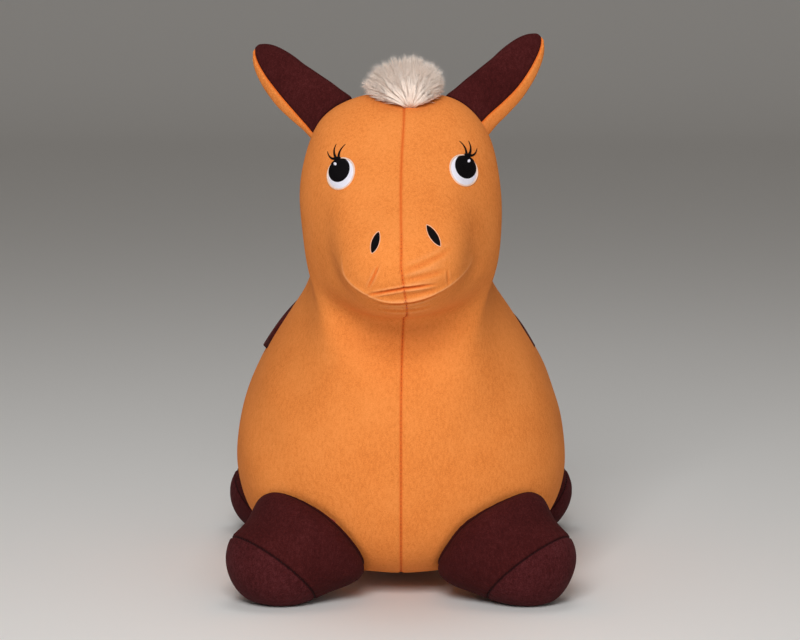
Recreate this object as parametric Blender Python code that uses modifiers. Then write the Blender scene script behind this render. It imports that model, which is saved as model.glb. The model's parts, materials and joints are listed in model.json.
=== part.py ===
"""Bouncy toy horse: a fleece cover drawn over a blown-up bladder, on four stub feet.

The horse faces -Y and its own left is +X. It stands on z = 0, and the origin is under
the middle of its box. Lengths are in metres and angles in radians.
"""

import math

import bmesh
import bpy
from mathutils import Matrix, Vector
from mathutils.bvhtree import BVHTree

# Whole horse
BODY_LENGTH = 0.522
BODY_WIDTH = 0.284
POLL_HEIGHT = 0.434
BELLY_CLEARANCE = 0.013
MUZZLE_LEAN = math.radians(7)
BODY_POINTS = 12

# Fabric, bladder and fits
COVER_THICKNESS = 0.0025
PATCH_THICKNESS = 0.0012
BLADDER_WALL = 0.0030
CLEARANCE = 0.0003
WELD = 0.0000005
OVERRUN = 0.4
CAVITY_FACE_SHARE = 0.6

# Body sections from rump to nose. Places along are shares of the length from the nose,
# heights are shares of the rise from belly to poll, half widths of half the width. A
# taper narrows the top of a section, and squareness is its superellipse's exponent.
# top along, top height, under along, under height, half width, taper, squareness, lean
SECTION_SHARES = (
    (0.981, 0.449, 0.981, 0.162, 0.500, 0.00, 2.0, 0.0),
    (0.914, 0.538, 0.923, 0.069, 0.770, 0.05, 2.1, 0.0),
    (0.795, 0.587, 0.815, 0.000, 0.965, 0.11, 2.2, 0.0),
    (0.640, 0.577, 0.650, 0.000, 1.000, 0.16, 2.2, 0.0),
    (0.522, 0.595, 0.480, 0.000, 1.000, 0.22, 2.2, 0.0),
    (0.477, 0.677, 0.260, 0.000, 0.965, 0.34, 2.2, 0.0),
    (0.464, 0.759, 0.160, 0.070, 0.800, 0.45, 2.2, 0.0),
    (0.444, 0.824, 0.140, 0.265, 0.552, 0.20, 2.3, 0.0),
    (0.420, 0.905, 0.155, 0.418, 0.512, 0.00, 2.4, 0.0),
    (0.377, 0.965, 0.190, 0.513, 0.590, 0.00, 2.7, 0.1),
    (0.320, 1.005, 0.180, 0.561, 0.606, 0.00, 2.9, 0.2),
    (0.243, 0.980, 0.138, 0.562, 0.532, 0.00, 2.7, 0.3),
    (0.167, 0.895, 0.086, 0.570, 0.414, 0.00, 2.4, 0.6),
    (0.086, 0.794, 0.040, 0.590, 0.368, 0.00, 2.3, 1.0),
    (0.029, 0.735, 0.013, 0.628, 0.264, 0.00, 2.1, 1.0),
)
RUMP_SHARES = (1.0, 0.294)
NOSE_SHARES = (0.0, 0.680)

# Feet
LEG_LENGTH = 0.152
LEG_RADIUS = 0.0520
LEG_POINTS = 8
LEG_DROP = math.radians(45)
LEG_TURN = math.radians(25)
FRONT_FOOT_SPREAD = 0.222
REAR_FOOT_SPREAD = 0.246
SOLE_HEIGHT = 0.0330
FLOOR_SOFTNESS = 0.0060
FLAT_DEPTH = 0.0005
FOOT_ALONG_SHARES = {"front": 0.192, "rear": 0.856}
# Sections as shares of the leg's length outwards from the sole seam, of its radius, and of
# its length again for how far the section sags
LEG_SHARES = ((-0.470, 1.10, 0.165), (-0.220, 0.866, 0.103), (0.0, 0.873, 0.0), (0.165, 0.65, 0.0))
LEG_END_SHARES = ((-0.620, 0.165), (0.263, 0.0))

# Ears, each as it sits on this horse
EAR_LENGTH = 0.097
EAR_WIDTH = 0.048
EAR_THICKNESS = 0.022
EAR_POINTS = 8
EAR_PANEL = 0.0020
EAR_BEND = math.radians(25)
EAR_SEAM_TURN = math.radians(40)
EAR_FACING = math.radians(11)
EAR_SPLAY = {"left": math.radians(39), "right": math.radians(44)}
EAR_BACK = {"left": math.radians(12), "right": math.radians(21)}
# Root's place as shares of half the body's width and of the rise from belly to poll
EAR_ROOT_SHARES = {"left": (0.411, 0.924), "right": (0.468, 0.935)}
EAR_PIVOT_ALONG_SHARE = 0.335
# Sections as shares of the ear's length, half width and half thickness
EAR_SHARES = (
    (-0.08, 0.92, 0.60),
    (0.10, 0.98, 0.80),
    (0.32, 1.0, 1.0),
    (0.60, 0.84, 0.95),
    (0.85, 0.57, 0.68),
)
EAR_END_SHARES = (-0.18, 1.02)

# Mane and tail
HEAD_CENTRE_SHARES = (0.32, 0.752)
MANE_WIDTH = 0.076
MANE_HEIGHT = 0.044
# Angle back from upright as a share of a quarter turn, then shares of width and height
MANE_SHARES = (
    (-0.13, 0.80, 0.70),
    (0.06, 1.0, 1.0),
    (0.34, 0.86, 0.80),
    (0.64, 0.72, 0.62),
    (0.92, 0.55, 0.50),
)
MANE_END_SHARES = (-0.24, 1.06)
RUMP_CENTRE_SHARES = (0.82, 0.322)
TAIL_WIDTH = 0.052
TAIL_STANDOFF = 0.032
TAIL_OVERHANG = 0.021
TAIL_SWING = math.radians(80)
# Angle up from level as a share of a quarter turn, then shares of width and standoff
TAIL_SHARES = ((0.56, 0.50, 0.45), (0.44, 0.85, 0.85), (0.30, 1.0, 1.0), (0.18, 0.80, 0.85))
TAIL_END_SHARES = (0.64, 0.08)

# Saddle
SADDLE_THICKNESS = 0.0018
SADDLE_CORNERS = 4
SADDLE_CORNER_RADIUS = 0.018
# Side outline as shares of the length and of the rise from belly to poll
SADDLE_SHARES = ((0.505, 0.455), (0.650, 0.415), (0.745, 0.480), (0.745, 0.900), (0.505, 0.900))

# Eyes and nostrils, placed as shares of half the width and of the rise from belly to poll
EYE_WHITE_LENGTH = 0.0280
EYE_WHITE_WIDTH = 0.0210
EYE_PUPIL_LENGTH = 0.0206
EYE_PUPIL_WIDTH = 0.0162
EYE_PUPIL_RISE = 0.0024
EYE_PUPIL_SHIFT = 0.0012
EYE_TILT = math.radians(28)
EYE_POINTS = 16
EYE_SHARES = {"left": (0.370, 0.850), "right": (0.354, 0.843)}
NOSTRIL_LENGTH = {"left": 0.0194, "right": 0.0172}
NOSTRIL_WIDTH = 0.0060
NOSTRIL_TILT = {"left": math.radians(33), "right": math.radians(19)}
NOSTRIL_POINTS = 7
NOSTRIL_SHARES = {"left": (0.186, 0.735), "right": (0.146, 0.720)}
FEATURE_REACH = 0.030

# Valve in the rump
VALVE_POINTS = 16
VALVE_HOLE_RADIUS = 0.0125
COLLAR_RADIUS = 0.0112
COLLAR_DEPTH = 0.0130
COLLAR_PROUD = 0.0006
PLUG_FLANGE_RADIUS = 0.0105
PLUG_FLANGE = 0.0015
PLUG_SHANK_RADIUS = 0.0052
PLUG_SHANK = 0.0145
PLUG_BEAD = 0.0004
PLUG_HOLLOW_RADIUS = 0.0030

# Zip along the belly
ZIP_LENGTH = 0.126
ZIP_ALONG_SHARE = 0.588
CHAIN_THICKNESS = 0.0016
CHAIN_DEPTH = 0.0010
CHAIN_SPINE = 0.0012
CHAIN_INSET = 0.0014
TOOTH_PITCH = 0.0042
TOOTH_WIDTH = 0.0013
TOOTH_REACH = 0.0023
TAPE_WIDTH = 0.0036
TAPE_THICKNESS = 0.0006
STOP_LENGTH = 0.0025
SLIDER_LENGTH = 0.0100
SLIDER_WIDTH = 0.0080
SLIDER_PLATE = 0.0009
SLIDER_NOSE = 0.0020
BAIL_LENGTH = 0.0036
BAIL_DROP = 0.0038
BAIL_PIN_RADIUS = 0.0006
PULL_LENGTH = 0.0065
PULL_WIDTH = 0.0046
PULL_THICKNESS = 0.0010
PULL_EYE_RADIUS = 0.0010
SMALL_POINTS = 12

SIDES = {"left": 1, "right": -1}
ENDS = {"front": -1, "rear": 1}
UP = Vector((0, 0, 1))
BACK = Vector((0, 1, 0))
LEFT = Vector((1, 0, 0))


# Placing things by share of the horse
def along(share):
    """Distance back from the origin of a share of the length, counted from the nose."""
    return share * BODY_LENGTH - (BODY_LENGTH + TAIL_OVERHANG) / 2


def rise(share):
    """Height of a share of the way from the belly to the poll."""
    return BELLY_CLEARANCE + share * (POLL_HEIGHT - BELLY_CLEARANCE)


def midline(shares):
    """The point on the middle plane at a pair of shares along and up."""
    return Vector((0, along(shares[0]), rise(shares[1])))


# Scene, collections and materials
def clear_scene():
    """Remove what the file opens with."""
    for item in list(bpy.data.objects):
        bpy.data.objects.remove(item)


def collection(name):
    """A new collection in the scene."""
    group = bpy.data.collections.new(name)
    bpy.context.scene.collection.children.link(group)
    return group


def finish(name, colour, roughness, metallic=0):
    """A plain Principled material."""
    material = bpy.data.materials.new(name)
    material.use_nodes = True
    shader = material.node_tree.nodes["Principled BSDF"]
    shader.inputs["Base Color"].default_value = (*colour, 1)
    shader.inputs["Roughness"].default_value = roughness
    shader.inputs["Metallic"].default_value = metallic
    return material


# Making, growing and cutting solids
def cutter(name, mesh, place=None):
    """A helper solid, drawn as wire and left out of renders."""
    helper = bpy.data.objects.new(name, mesh)
    helper.matrix_world = place or Matrix()
    helper.display_type = "WIRE"
    helper.hide_render = True
    CUTTERS.objects.link(helper)
    return helper


def part(name, mesh, material, place=None):
    """A piece of the horse, as its own object with its own finish."""
    piece = bpy.data.objects.new(name, mesh)
    piece.matrix_world = place or Matrix()
    piece.data.materials.clear()
    piece.data.materials.append(material)
    PARTS.objects.link(piece)
    return piece


def change(target, tool, operation="DIFFERENCE"):
    """Cut, join or keep the shared part of a piece and a helper solid."""
    boolean = target.modifiers.new(f"{operation} {tool.name}", "BOOLEAN")
    boolean.operation = operation
    boolean.object = tool


def cut(target, *tools):
    """Cut a piece by each helper solid in turn."""
    for tool in tools:
        change(target, tool)


def settled_mesh(source):
    """The evaluated mesh of an object, with caps and seams welded."""
    evaluated = source.evaluated_get(bpy.context.evaluated_depsgraph_get())
    mesh = bpy.data.meshes.new_from_object(evaluated)
    joined = bmesh.new()
    joined.from_mesh(mesh)
    bmesh.ops.remove_doubles(joined, verts=joined.verts, dist=WELD)
    joined.to_mesh(mesh)
    joined.free()
    return mesh


def loft_mesh(name, rings, poles):
    """A closed soft form through rings of points, rounded to its smooth limit."""
    cage = bmesh.new()
    rows = [[cage.verts.new(point) for point in ring] for ring in rings]
    start, end = (cage.verts.new(pole) for pole in poles)
    count = len(rows[0])
    for index in range(count):
        after = (index + 1) % count
        for row, following in zip(rows, rows[1:]):
            cage.faces.new((row[index], row[after], following[after], following[index]))
        cage.faces.new((start, rows[0][after], rows[0][index]))
        cage.faces.new((end, rows[-1][index], rows[-1][after]))
    bmesh.ops.recalc_face_normals(cage, faces=cage.faces)
    mesh = bpy.data.meshes.new(name)
    cage.to_mesh(mesh)
    cage.free()
    soft = cutter(name, mesh)
    rounding = soft.modifiers.new("round", "SUBSURF")
    rounding.levels = 1
    rounding.render_levels = 1
    # Bent quads are split here, so that every offset copy has the same flat faces
    soft.modifiers.new("flat faces", "TRIANGULATE")
    smooth = settled_mesh(soft)
    bpy.data.objects.remove(soft)
    return smooth


def swell(count):
    """How far out a ring's cage lies for its smooth limit to pass through the ring."""
    return 3 / (2 + math.cos(math.tau / count))


def power(value, exponent):
    """A power that keeps the sign of its base."""
    return math.copysign(abs(value) ** exponent, value)


def section(middle, upward, sideways, count, square=2, taper=0):
    """A closed superellipse ring, narrower at its top by the taper."""
    ring = []
    for index in range(count):
        angle = math.tau * index / count
        high = power(math.cos(angle), 2 / square)
        wide = power(math.sin(angle), 2 / square) * (1 - taper * high)
        ring.append(middle + (upward * high + sideways * wide) * swell(count))
    return ring


def push_out(target, offset):
    """Move a form's surface outwards by an offset."""
    push = target.modifiers.new("offset", "DISPLACE")
    push.direction = "NORMAL"
    push.mid_level = 0
    push.strength = offset


def grown(form, offset):
    """A helper copy of a closed form with its surface moved outwards by an offset."""
    helper = cutter(f"{form.name} {offset:+.4f}", form)
    push_out(helper, offset)
    return helper


def simpler(form):
    """A copy of a form with fewer faces, for the cavity of the bladder."""
    helper = cutter(form.name, form)
    thinning = helper.modifiers.new("fewer faces", "DECIMATE")
    thinning.ratio = CAVITY_FACE_SHARE
    thinning.use_symmetry = True
    helper.modifiers.new("flat faces", "TRIANGULATE")
    mesh = settled_mesh(helper)
    bpy.data.objects.remove(helper)
    mesh.name = f"simpler {form.name}"
    return mesh


def soft_part(name, form, material, pivot=None):
    """A piece that starts as a soft form, with its origin on a pivot."""
    mesh = form.copy()
    pivot = pivot or Vector()
    mesh.transform(Matrix.Translation(-pivot))
    return part(name, mesh, material, Matrix.Translation(pivot))


def block_mesh(name, low, high):
    """A box between two corners."""
    box = bmesh.new()
    bmesh.ops.create_cube(box, size=1)
    low, high = Vector(low), Vector(high)
    bmesh.ops.scale(box, vec=high - low, verts=box.verts)
    bmesh.ops.translate(box, vec=(low + high) / 2, verts=box.verts)
    mesh = bpy.data.meshes.new(name)
    box.to_mesh(mesh)
    box.free()
    return mesh


def round_mesh(name, radius, depth, count):
    """A cylinder along Z, centred on the origin."""
    rod = bmesh.new()
    bmesh.ops.create_cone(rod, cap_ends=True, segments=count, radius1=radius, radius2=radius, depth=depth)
    mesh = bpy.data.meshes.new(name)
    rod.to_mesh(mesh)
    rod.free()
    return mesh


def prism_mesh(name, outline, depth):
    """A flat outline in XY, thickened by a depth along Z and centred on z = 0."""
    curve = bpy.data.curves.new(name, "CURVE")
    curve.dimensions = "2D"
    curve.fill_mode = "BOTH"
    curve.extrude = depth / 2
    spline = curve.splines.new("POLY")
    spline.points.add(len(outline) - 1)
    for point, (x, y) in zip(spline.points, outline):
        point.co = (x, y, 0, 1)
    spline.use_cyclic_u = True
    drawn = bpy.data.objects.new(name, curve)
    CUTTERS.objects.link(drawn)
    mesh = settled_mesh(drawn)
    bpy.data.objects.remove(drawn)
    return mesh


def ellipse(length, width, count, grow=0):
    """Points of an ellipse, its length along Y, grown all round."""
    turns = [math.tau * index / count for index in range(count)]
    return [((width / 2 + grow) * math.cos(turn), (length / 2 + grow) * math.sin(turn)) for turn in turns]


def frame_matrix(origin, x_axis, y_axis, z_axis):
    """The matrix that takes a local frame to a place in the world."""
    turn = Matrix((x_axis, y_axis, z_axis)).transposed().to_4x4()
    return Matrix.Translation(origin) @ turn


def surface(tree, origin, direction):
    """Where a ray meets a form."""
    point = tree.ray_cast(Vector(origin), Vector(direction))[0]
    return point


def sweep_cutters(form, pivot, axis, angles):
    """The body as a hinged piece sees it at several angles of its swing."""
    helpers = []
    for angle in angles:
        helper = grown(form, CLEARANCE)
        turn = Matrix.Rotation(-angle, 4, axis)
        helper.matrix_world = Matrix.Translation(pivot) @ turn @ Matrix.Translation(-pivot)
        helpers.append(helper)
    return helpers


# Soft forms that covers, bladder and panels are all cut from
def body_form():
    """Torso, neck and head as one smooth closed surface."""
    rings = []
    for row in SECTION_SHARES:
        top = midline(row[0:2])
        under = midline(row[2:4])
        half_width, taper, square, lean = row[4:8]
        roll = Matrix.Rotation(-lean * MUZZLE_LEAN, 3, "Y")
        upward = roll @ ((top - under) / 2)
        sideways = roll @ (LEFT * half_width * BODY_WIDTH / 2)
        rings.append(section((top + under) / 2, upward, sideways, BODY_POINTS, square, taper))
    return loft_mesh("body form", rings, (midline(RUMP_SHARES), midline(NOSE_SHARES)))


def leg_frame(end, side):
    """Centre of a foot's sole seam, the leg's outward axis, and two axes across it."""
    spread = FRONT_FOOT_SPREAD if end == "front" else REAR_FOOT_SPREAD
    seam = Vector((SIDES[side] * spread / 2, along(FOOT_ALONG_SHARES[end]), SOLE_HEIGHT))
    level = math.cos(LEG_DROP)
    outward = Vector((
        SIDES[side] * level * math.cos(LEG_TURN),
        ENDS[end] * level * math.sin(LEG_TURN),
        -math.sin(LEG_DROP),
    ))
    across = outward.cross(UP).normalized()
    return seam, outward, across, across.cross(outward)


def leg_form(end, side):
    """A leg from inside the torso to its domed sole, pressed onto the floor."""
    seam, outward, across, over = leg_frame(end, side)
    rings = []
    for reach, girth, sag in LEG_SHARES:
        middle = seam + (outward * reach - UP * sag) * LEG_LENGTH
        radius = girth * LEG_RADIUS
        rings.append(section(middle, over * radius, across * radius, LEG_POINTS))
    poles = [seam + (outward * reach - UP * sag) * LEG_LENGTH for reach, sag in LEG_END_SHARES]
    form = loft_mesh(f"leg form {end} {side}", rings, poles)
    for vertex in form.vertices:
        vertex.co.z = (vertex.co.z + math.hypot(vertex.co.z, FLOOR_SOFTNESS)) / 2
    lowest = min(vertex.co.z for vertex in form.vertices)
    for vertex in form.vertices:
        vertex.co.z -= lowest + FLAT_DEPTH
    return form


# The fabric cover, in two halves sewn along the middle
def make_cover(body, legs, valve):
    """Two halves of the cover, open at the legs, the zip and the valve."""
    lining = grown(body, -COVER_THICKNESS)
    zip_slot = cutter("zip slot", zip_slot_mesh())
    hole = cutter("valve hole", round_mesh("valve hole", VALVE_HOLE_RADIUS, FEATURE_REACH, VALVE_POINTS), valve)
    for side, sign in SIDES.items():
        half = soft_part(f"cover_{side}", body, FLEECE)
        edge = sign * CLEARANCE / 2
        far = -sign * OVERRUN
        low = (min(edge, far), -OVERRUN, -OVERRUN)
        high = (max(edge, far), OVERRUN, OVERRUN + OVERRUN)
        beyond = cutter(f"past the middle of cover_{side}", block_mesh("block", low, high))
        openings = [grown(legs[end, side], -COVER_THICKNESS) for end in ENDS]
        cut(half, beyond, lining, *openings, zip_slot, hole)


# Boots and soles
def make_feet(body, legs):
    """A boot and a sole panel on each leg, parted at the sole seam."""
    floor_low = (-OVERRUN, -OVERRUN, -OVERRUN)
    floor = cutter("floor", block_mesh("floor", floor_low, (OVERRUN, OVERRUN, 0)))
    clear_body = grown(body, CLEARANCE)
    for (end, side), form in legs.items():
        seam, outward, across, over = leg_frame(end, side)
        place = frame_matrix(seam, across, over, outward)
        inner = grown(form, -COVER_THICKNESS)
        half = OVERRUN / 2
        past = cutter("past the seam", block_mesh("block", (-half, -half, -CLEARANCE), (half, half, half)), place)
        before = cutter("before the seam", block_mesh("block", (-half, -half, -half), (half, half, 0)), place)
        boot = soft_part(f"boot_{end}_{side}", form, BOOT_FLEECE)
        cut(boot, inner, past, clear_body, floor)
        sole = soft_part(f"sole_{end}_{side}", form, BOOT_FLEECE)
        cut(sole, inner, before, floor)


# Bladder, its valve and the plug
def make_bladder(body, legs, valve):
    """One hollow skin through torso, head and legs, with a collar for the plug."""
    outer = -(COVER_THICKNESS + CLEARANCE)
    inner = outer - BLADDER_WALL
    bladder = soft_part("bladder", body, RUBBER)
    push_out(bladder, outer)
    for form in legs.values():
        change(bladder, grown(form, outer), "UNION")
    collar_length = COLLAR_DEPTH + COLLAR_PROUD
    centre = outer - COLLAR_DEPTH + collar_length / 2
    cut(bladder, *[grown(simpler(form), inner) for form in (body, *legs.values())])
    collar = round_mesh("collar", COLLAR_RADIUS, collar_length, VALVE_POINTS)
    change(bladder, cutter("collar", collar, valve @ Matrix.Translation((0, 0, centre))), "UNION")
    bore = round_mesh("bore", PLUG_SHANK_RADIUS + CLEARANCE, FEATURE_REACH + COLLAR_DEPTH, VALVE_POINTS)
    cut(bladder, cutter("bore", bore, valve))


def make_plug(valve):
    """A turned stopper: a flange on the collar and a beaded shank in its bore."""
    seat = COLLAR_PROUD - COVER_THICKNESS
    top = seat + PLUG_FLANGE
    bead = PLUG_SHANK_RADIUS - PLUG_BEAD
    profile = (
        (0, top),
        (PLUG_FLANGE_RADIUS - PLUG_BEAD, top),
        (PLUG_FLANGE_RADIUS, top - PLUG_BEAD),
        (PLUG_FLANGE_RADIUS, seat),
        (bead, seat),
        (bead, seat - PLUG_SHANK / 2),
        (PLUG_SHANK_RADIUS, seat - PLUG_SHANK / 2 - PLUG_BEAD),
        (bead, seat - PLUG_SHANK / 2 - PLUG_BEAD - PLUG_BEAD),
        (bead, seat - PLUG_SHANK),
        (PLUG_HOLLOW_RADIUS, seat - PLUG_SHANK),
        (PLUG_HOLLOW_RADIUS, seat - PLUG_BEAD),
        (0, seat - PLUG_BEAD),
    )
    mesh = bpy.data.meshes.new("valve_plug")
    points = [(radius, 0, height) for radius, height in profile]
    mesh.from_pydata(points, [(index, index + 1) for index in range(len(points) - 1)], [])
    plug = part("valve_plug", mesh, PLUG_PLASTIC, valve)
    turning = plug.modifiers.new("turn", "SCREW")
    turning.steps = VALVE_POINTS
    turning.render_steps = VALVE_POINTS
    turning.use_merge_vertices = True
    turning.merge_threshold = WELD


# Ears
def ear_frame(tree, side):
    """Root on the head, the ear's axis, its width direction and the lining's direction."""
    sign = SIDES[side]
    wide, high = EAR_ROOT_SHARES[side]
    pivot = Vector((0, along(EAR_PIVOT_ALONG_SHARE), rise(HEAD_CENTRE_SHARES[1])))
    aim = Vector((sign * wide * BODY_WIDTH / 2, pivot.y, rise(high)))
    root = surface(tree, pivot, aim - pivot)
    splay, back = EAR_SPLAY[side], EAR_BACK[side]
    axis = Vector((sign * math.sin(splay) * math.cos(back), math.sin(back), math.cos(splay) * math.cos(back)))
    front = (-BACK + axis * axis.dot(BACK)).normalized()
    facing = Matrix.Rotation(sign * EAR_FACING, 3, axis) @ front
    width = axis.cross(facing) * sign
    return root, axis.normalized(), width.normalized(), facing.normalized()


def ear_form(tree, side, inset):
    """A flat leaf, pinched at its root, drawn in all round by an inset."""
    root, axis, width, facing = ear_frame(tree, side)
    rings = []
    for reach, broad, thick in EAR_SHARES:
        middle = root + axis * reach * EAR_LENGTH
        half_width = broad * EAR_WIDTH / 2 - inset
        half_thickness = thick * EAR_THICKNESS / 2 - inset
        rings.append(section(middle, facing * half_thickness, width * half_width, EAR_POINTS))
    start, tip = (reach * EAR_LENGTH for reach in EAR_END_SHARES)
    return loft_mesh(f"ear {side} {inset:.4f}", rings, (root + axis * (start + inset), root + axis * (tip - inset)))


def make_ear(body, tree, side):
    """A stuffed ear: back panel, dark lining panel and filling."""
    root, axis, width, facing = ear_frame(tree, side)
    form = ear_form(tree, side, 0)
    hollow = cutter("ear hollow", ear_form(tree, side, EAR_PANEL))
    clear = sweep_cutters(body, root, width, (-EAR_BEND, 0, EAR_BEND))
    # The seam lies on a plane through the axis, turned so that the back panel shows
    # along the ear's outer edge
    turned = Matrix.Rotation(-SIDES[side] * EAR_SEAM_TURN, 3, axis)
    normal = turned @ facing
    place = frame_matrix(root, axis.cross(normal), axis, normal)
    half = OVERRUN / 2
    gap = CLEARANCE / 2
    before = cutter("lining side", block_mesh("block", (-half, -half, -gap), (half, half, half)), place)
    behind = cutter("back side", block_mesh("block", (-half, -half, -half), (half, half, gap)), place)
    back_panel = soft_part(f"ear_back_{side}", form, FLEECE, root)
    cut(back_panel, *clear, hollow, before)
    lining = soft_part(f"ear_lining_{side}", form, BOOT_FLEECE, root)
    cut(lining, *clear, hollow, behind)
    inside = ear_form(tree, side, EAR_PANEL + CLEARANCE)
    filling = soft_part(f"ear_stuffing_{side}", inside, STUFFING, root)
    cut(filling, *clear)
    print(f"ear_{side}_flex: root {tuple(root)} axis {tuple(width)}")


# Mane and tail
def fan_point(tree, centre, turn):
    """The direction at a turn from upright towards the rear, and the skin point it meets."""
    ray = UP * math.cos(turn) + BACK * math.sin(turn)
    return ray, surface(tree, centre, ray)


def make_mane(body, tree):
    """A fur strip from the forehead over the poll and down the neck."""
    centre = midline(HEAD_CENTRE_SHARES)
    quarter = math.pi / 2
    rings = []
    for turn, broad, tall in MANE_SHARES:
        ray, skin = fan_point(tree, centre, turn * quarter)
        rings.append(section(skin, ray * tall * MANE_HEIGHT, LEFT * broad * MANE_WIDTH / 2, EAR_POINTS))
    poles = [fan_point(tree, centre, turn * quarter)[1] for turn in MANE_END_SHARES]
    mane = soft_part("mane", loft_mesh("mane form", rings, poles), FUR)
    cut(mane, grown(body, CLEARANCE))


def make_tail(body, tree):
    """A short fur tail hanging down the rump from its sewn root."""
    centre = midline(RUMP_CENTRE_SHARES)
    quarter = math.pi / 2
    rings = []
    for share, broad, thick in TAIL_SHARES:
        ray, skin = fan_point(tree, centre, quarter - share * quarter)
        middle = skin + ray * thick * TAIL_STANDOFF / 2
        rings.append(section(middle, ray * thick * TAIL_STANDOFF / 2, LEFT * broad * TAIL_WIDTH / 2, EAR_POINTS))
    poles = []
    for share in TAIL_END_SHARES:
        ray, skin = fan_point(tree, centre, quarter - share * quarter)
        poles.append(skin + ray * TAIL_STANDOFF / 3)
    pivot = fan_point(tree, centre, quarter - TAIL_SHARES[0][0] * quarter)[1]
    tail = soft_part("tail", loft_mesh("tail form", rings, poles), FUR, pivot)
    cut(tail, *sweep_cutters(body, pivot, LEFT, (0, TAIL_SWING / 2, TAIL_SWING)))
    print(f"tail_swing: pivot {tuple(pivot)}")


# Saddle, eyes and nostrils, all thin panels that follow the cover
def rounded(corners, radius, count):
    """An outline with each corner replaced by an arc that leaves its two edges."""
    outline = []
    for index, corner in enumerate(corners):
        before = Vector(corners[index - 1]) - Vector(corner)
        after = Vector(corners[(index + 1) % len(corners)]) - Vector(corner)
        half = before.angle(after) / 2
        setback = radius / math.tan(half)
        start = Vector(corner) + before.normalized() * setback
        end = Vector(corner) + after.normalized() * setback
        centre = Vector(corner) + (before.normalized() + after.normalized()).normalized() * radius / math.sin(half)
        for step in range(count + 1):
            point = centre + (start - centre).lerp(end - centre, step / count).normalized() * radius
            outline.append(tuple(point))
    return outline


def make_saddle(body):
    """A dark saddle panel over the back, its flaps down both flanks."""
    corners = [(along(place), rise(height)) for place, height in SADDLE_SHARES]
    outline = rounded(corners, SADDLE_CORNER_RADIUS, SADDLE_CORNERS)
    # Local X runs back, Y up and Z across the horse
    place = frame_matrix(Vector(), BACK, UP, LEFT)
    saddle = part("saddle", prism_mesh("saddle", outline, OVERRUN), BOOT_FLEECE, place)
    change(saddle, grown(body, CLEARANCE + SADDLE_THICKNESS), "INTERSECT")
    cut(saddle, grown(body, CLEARANCE))


def make_patch(name, body, outline, place, material, holes=()):
    """A thin panel on the cover: an outline seen from the front, kept to a skin."""
    patch = part(name, prism_mesh(name, outline, FEATURE_REACH), material, place)
    for hole in holes:
        change(patch, hole)
    change(patch, grown(body, CLEARANCE + PATCH_THICKNESS), "INTERSECT")
    cut(patch, grown(body, CLEARANCE))


def feature_place(tree, x, z, tilt):
    """A frame on the face: Z to the front, Y up and tilted outwards at its top."""
    skin = surface(tree, (x, -OVERRUN, z), BACK)
    turn = Matrix.Rotation(tilt, 3, "Y")
    return frame_matrix(skin, turn @ LEFT, turn @ UP, -BACK)


def make_face(body, tree):
    """Embroidered eyes and nostrils."""
    for side, sign in SIDES.items():
        wide, high = EYE_SHARES[side]
        x, z = sign * wide * BODY_WIDTH / 2, rise(high)
        white_place = feature_place(tree, x, z, -sign * EYE_TILT)
        pupil_x, pupil_z = x + sign * EYE_PUPIL_SHIFT, z + EYE_PUPIL_RISE
        pupil_place = feature_place(tree, pupil_x, pupil_z, -sign * EYE_TILT)
        white = ellipse(EYE_WHITE_LENGTH, EYE_WHITE_WIDTH, EYE_POINTS)
        pupil = ellipse(EYE_PUPIL_LENGTH, EYE_PUPIL_WIDTH, EYE_POINTS)
        around = ellipse(EYE_PUPIL_LENGTH, EYE_PUPIL_WIDTH, EYE_POINTS, CLEARANCE)
        window = cutter("pupil window", prism_mesh("pupil window", around, OVERRUN), pupil_place)
        make_patch(f"eye_white_{side}", body, white, white_place, WHITE_THREAD, [window])
        make_patch(f"eye_pupil_{side}", body, pupil, pupil_place, BLACK_THREAD)
        wide, high = NOSTRIL_SHARES[side]
        place = feature_place(tree, sign * wide * BODY_WIDTH / 2, rise(high), -sign * NOSTRIL_TILT[side])
        outline = leaf(NOSTRIL_LENGTH[side], NOSTRIL_WIDTH, NOSTRIL_POINTS)
        make_patch(f"nostril_{side}", body, outline, place, BLACK_THREAD)


def leaf(length, width, count):
    """A slit with two pointed ends: one sine arch up, one down."""
    climb = [(width / 2 * math.sin(math.pi * i / count), length * (i / count - 1 / 2)) for i in range(count + 1)]
    return climb + [(-x, y) for x, y in reversed(climb[1:-1])]


# Zip along the belly
def zip_level():
    """Middle height of the chain, whose underside stands proud of the belly."""
    return BELLY_CLEARANCE - CHAIN_DEPTH + CHAIN_THICKNESS / 2


def zip_slot_mesh():
    """The gap in the cover that the tapes fill."""
    half = CHAIN_INSET + CHAIN_SPINE + TAPE_WIDTH + CLEARANCE + CLEARANCE
    middle, reach = along(ZIP_ALONG_SHARE), ZIP_LENGTH / 2 + CLEARANCE
    bottom = BELLY_CLEARANCE - FEATURE_REACH
    top = BELLY_CLEARANCE + FEATURE_REACH
    return block_mesh("zip slot", (-half, middle - reach, bottom), (half, middle + reach, top))


def comb_outline(sign, start, end):
    """One side of the chain from above: a spine with teeth towards the middle."""
    inner, outer = CHAIN_INSET, CHAIN_INSET + CHAIN_SPINE
    tip = CHAIN_INSET - TOOTH_REACH
    outline = [(sign * outer, start), (sign * outer, end), (sign * inner, end)]
    shift = TOOTH_PITCH / 2 if sign > 0 else 0
    place = end - TOOTH_PITCH / 2 - shift
    while place - TOOTH_WIDTH > start:
        outline += [
            (sign * inner, place + TOOTH_WIDTH / 2),
            (sign * tip, place + TOOTH_WIDTH / 2),
            (sign * tip, place - TOOTH_WIDTH / 2),
            (sign * inner, place - TOOTH_WIDTH / 2),
        ]
        place -= TOOTH_PITCH
    return outline + [(sign * inner, start)]


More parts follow.
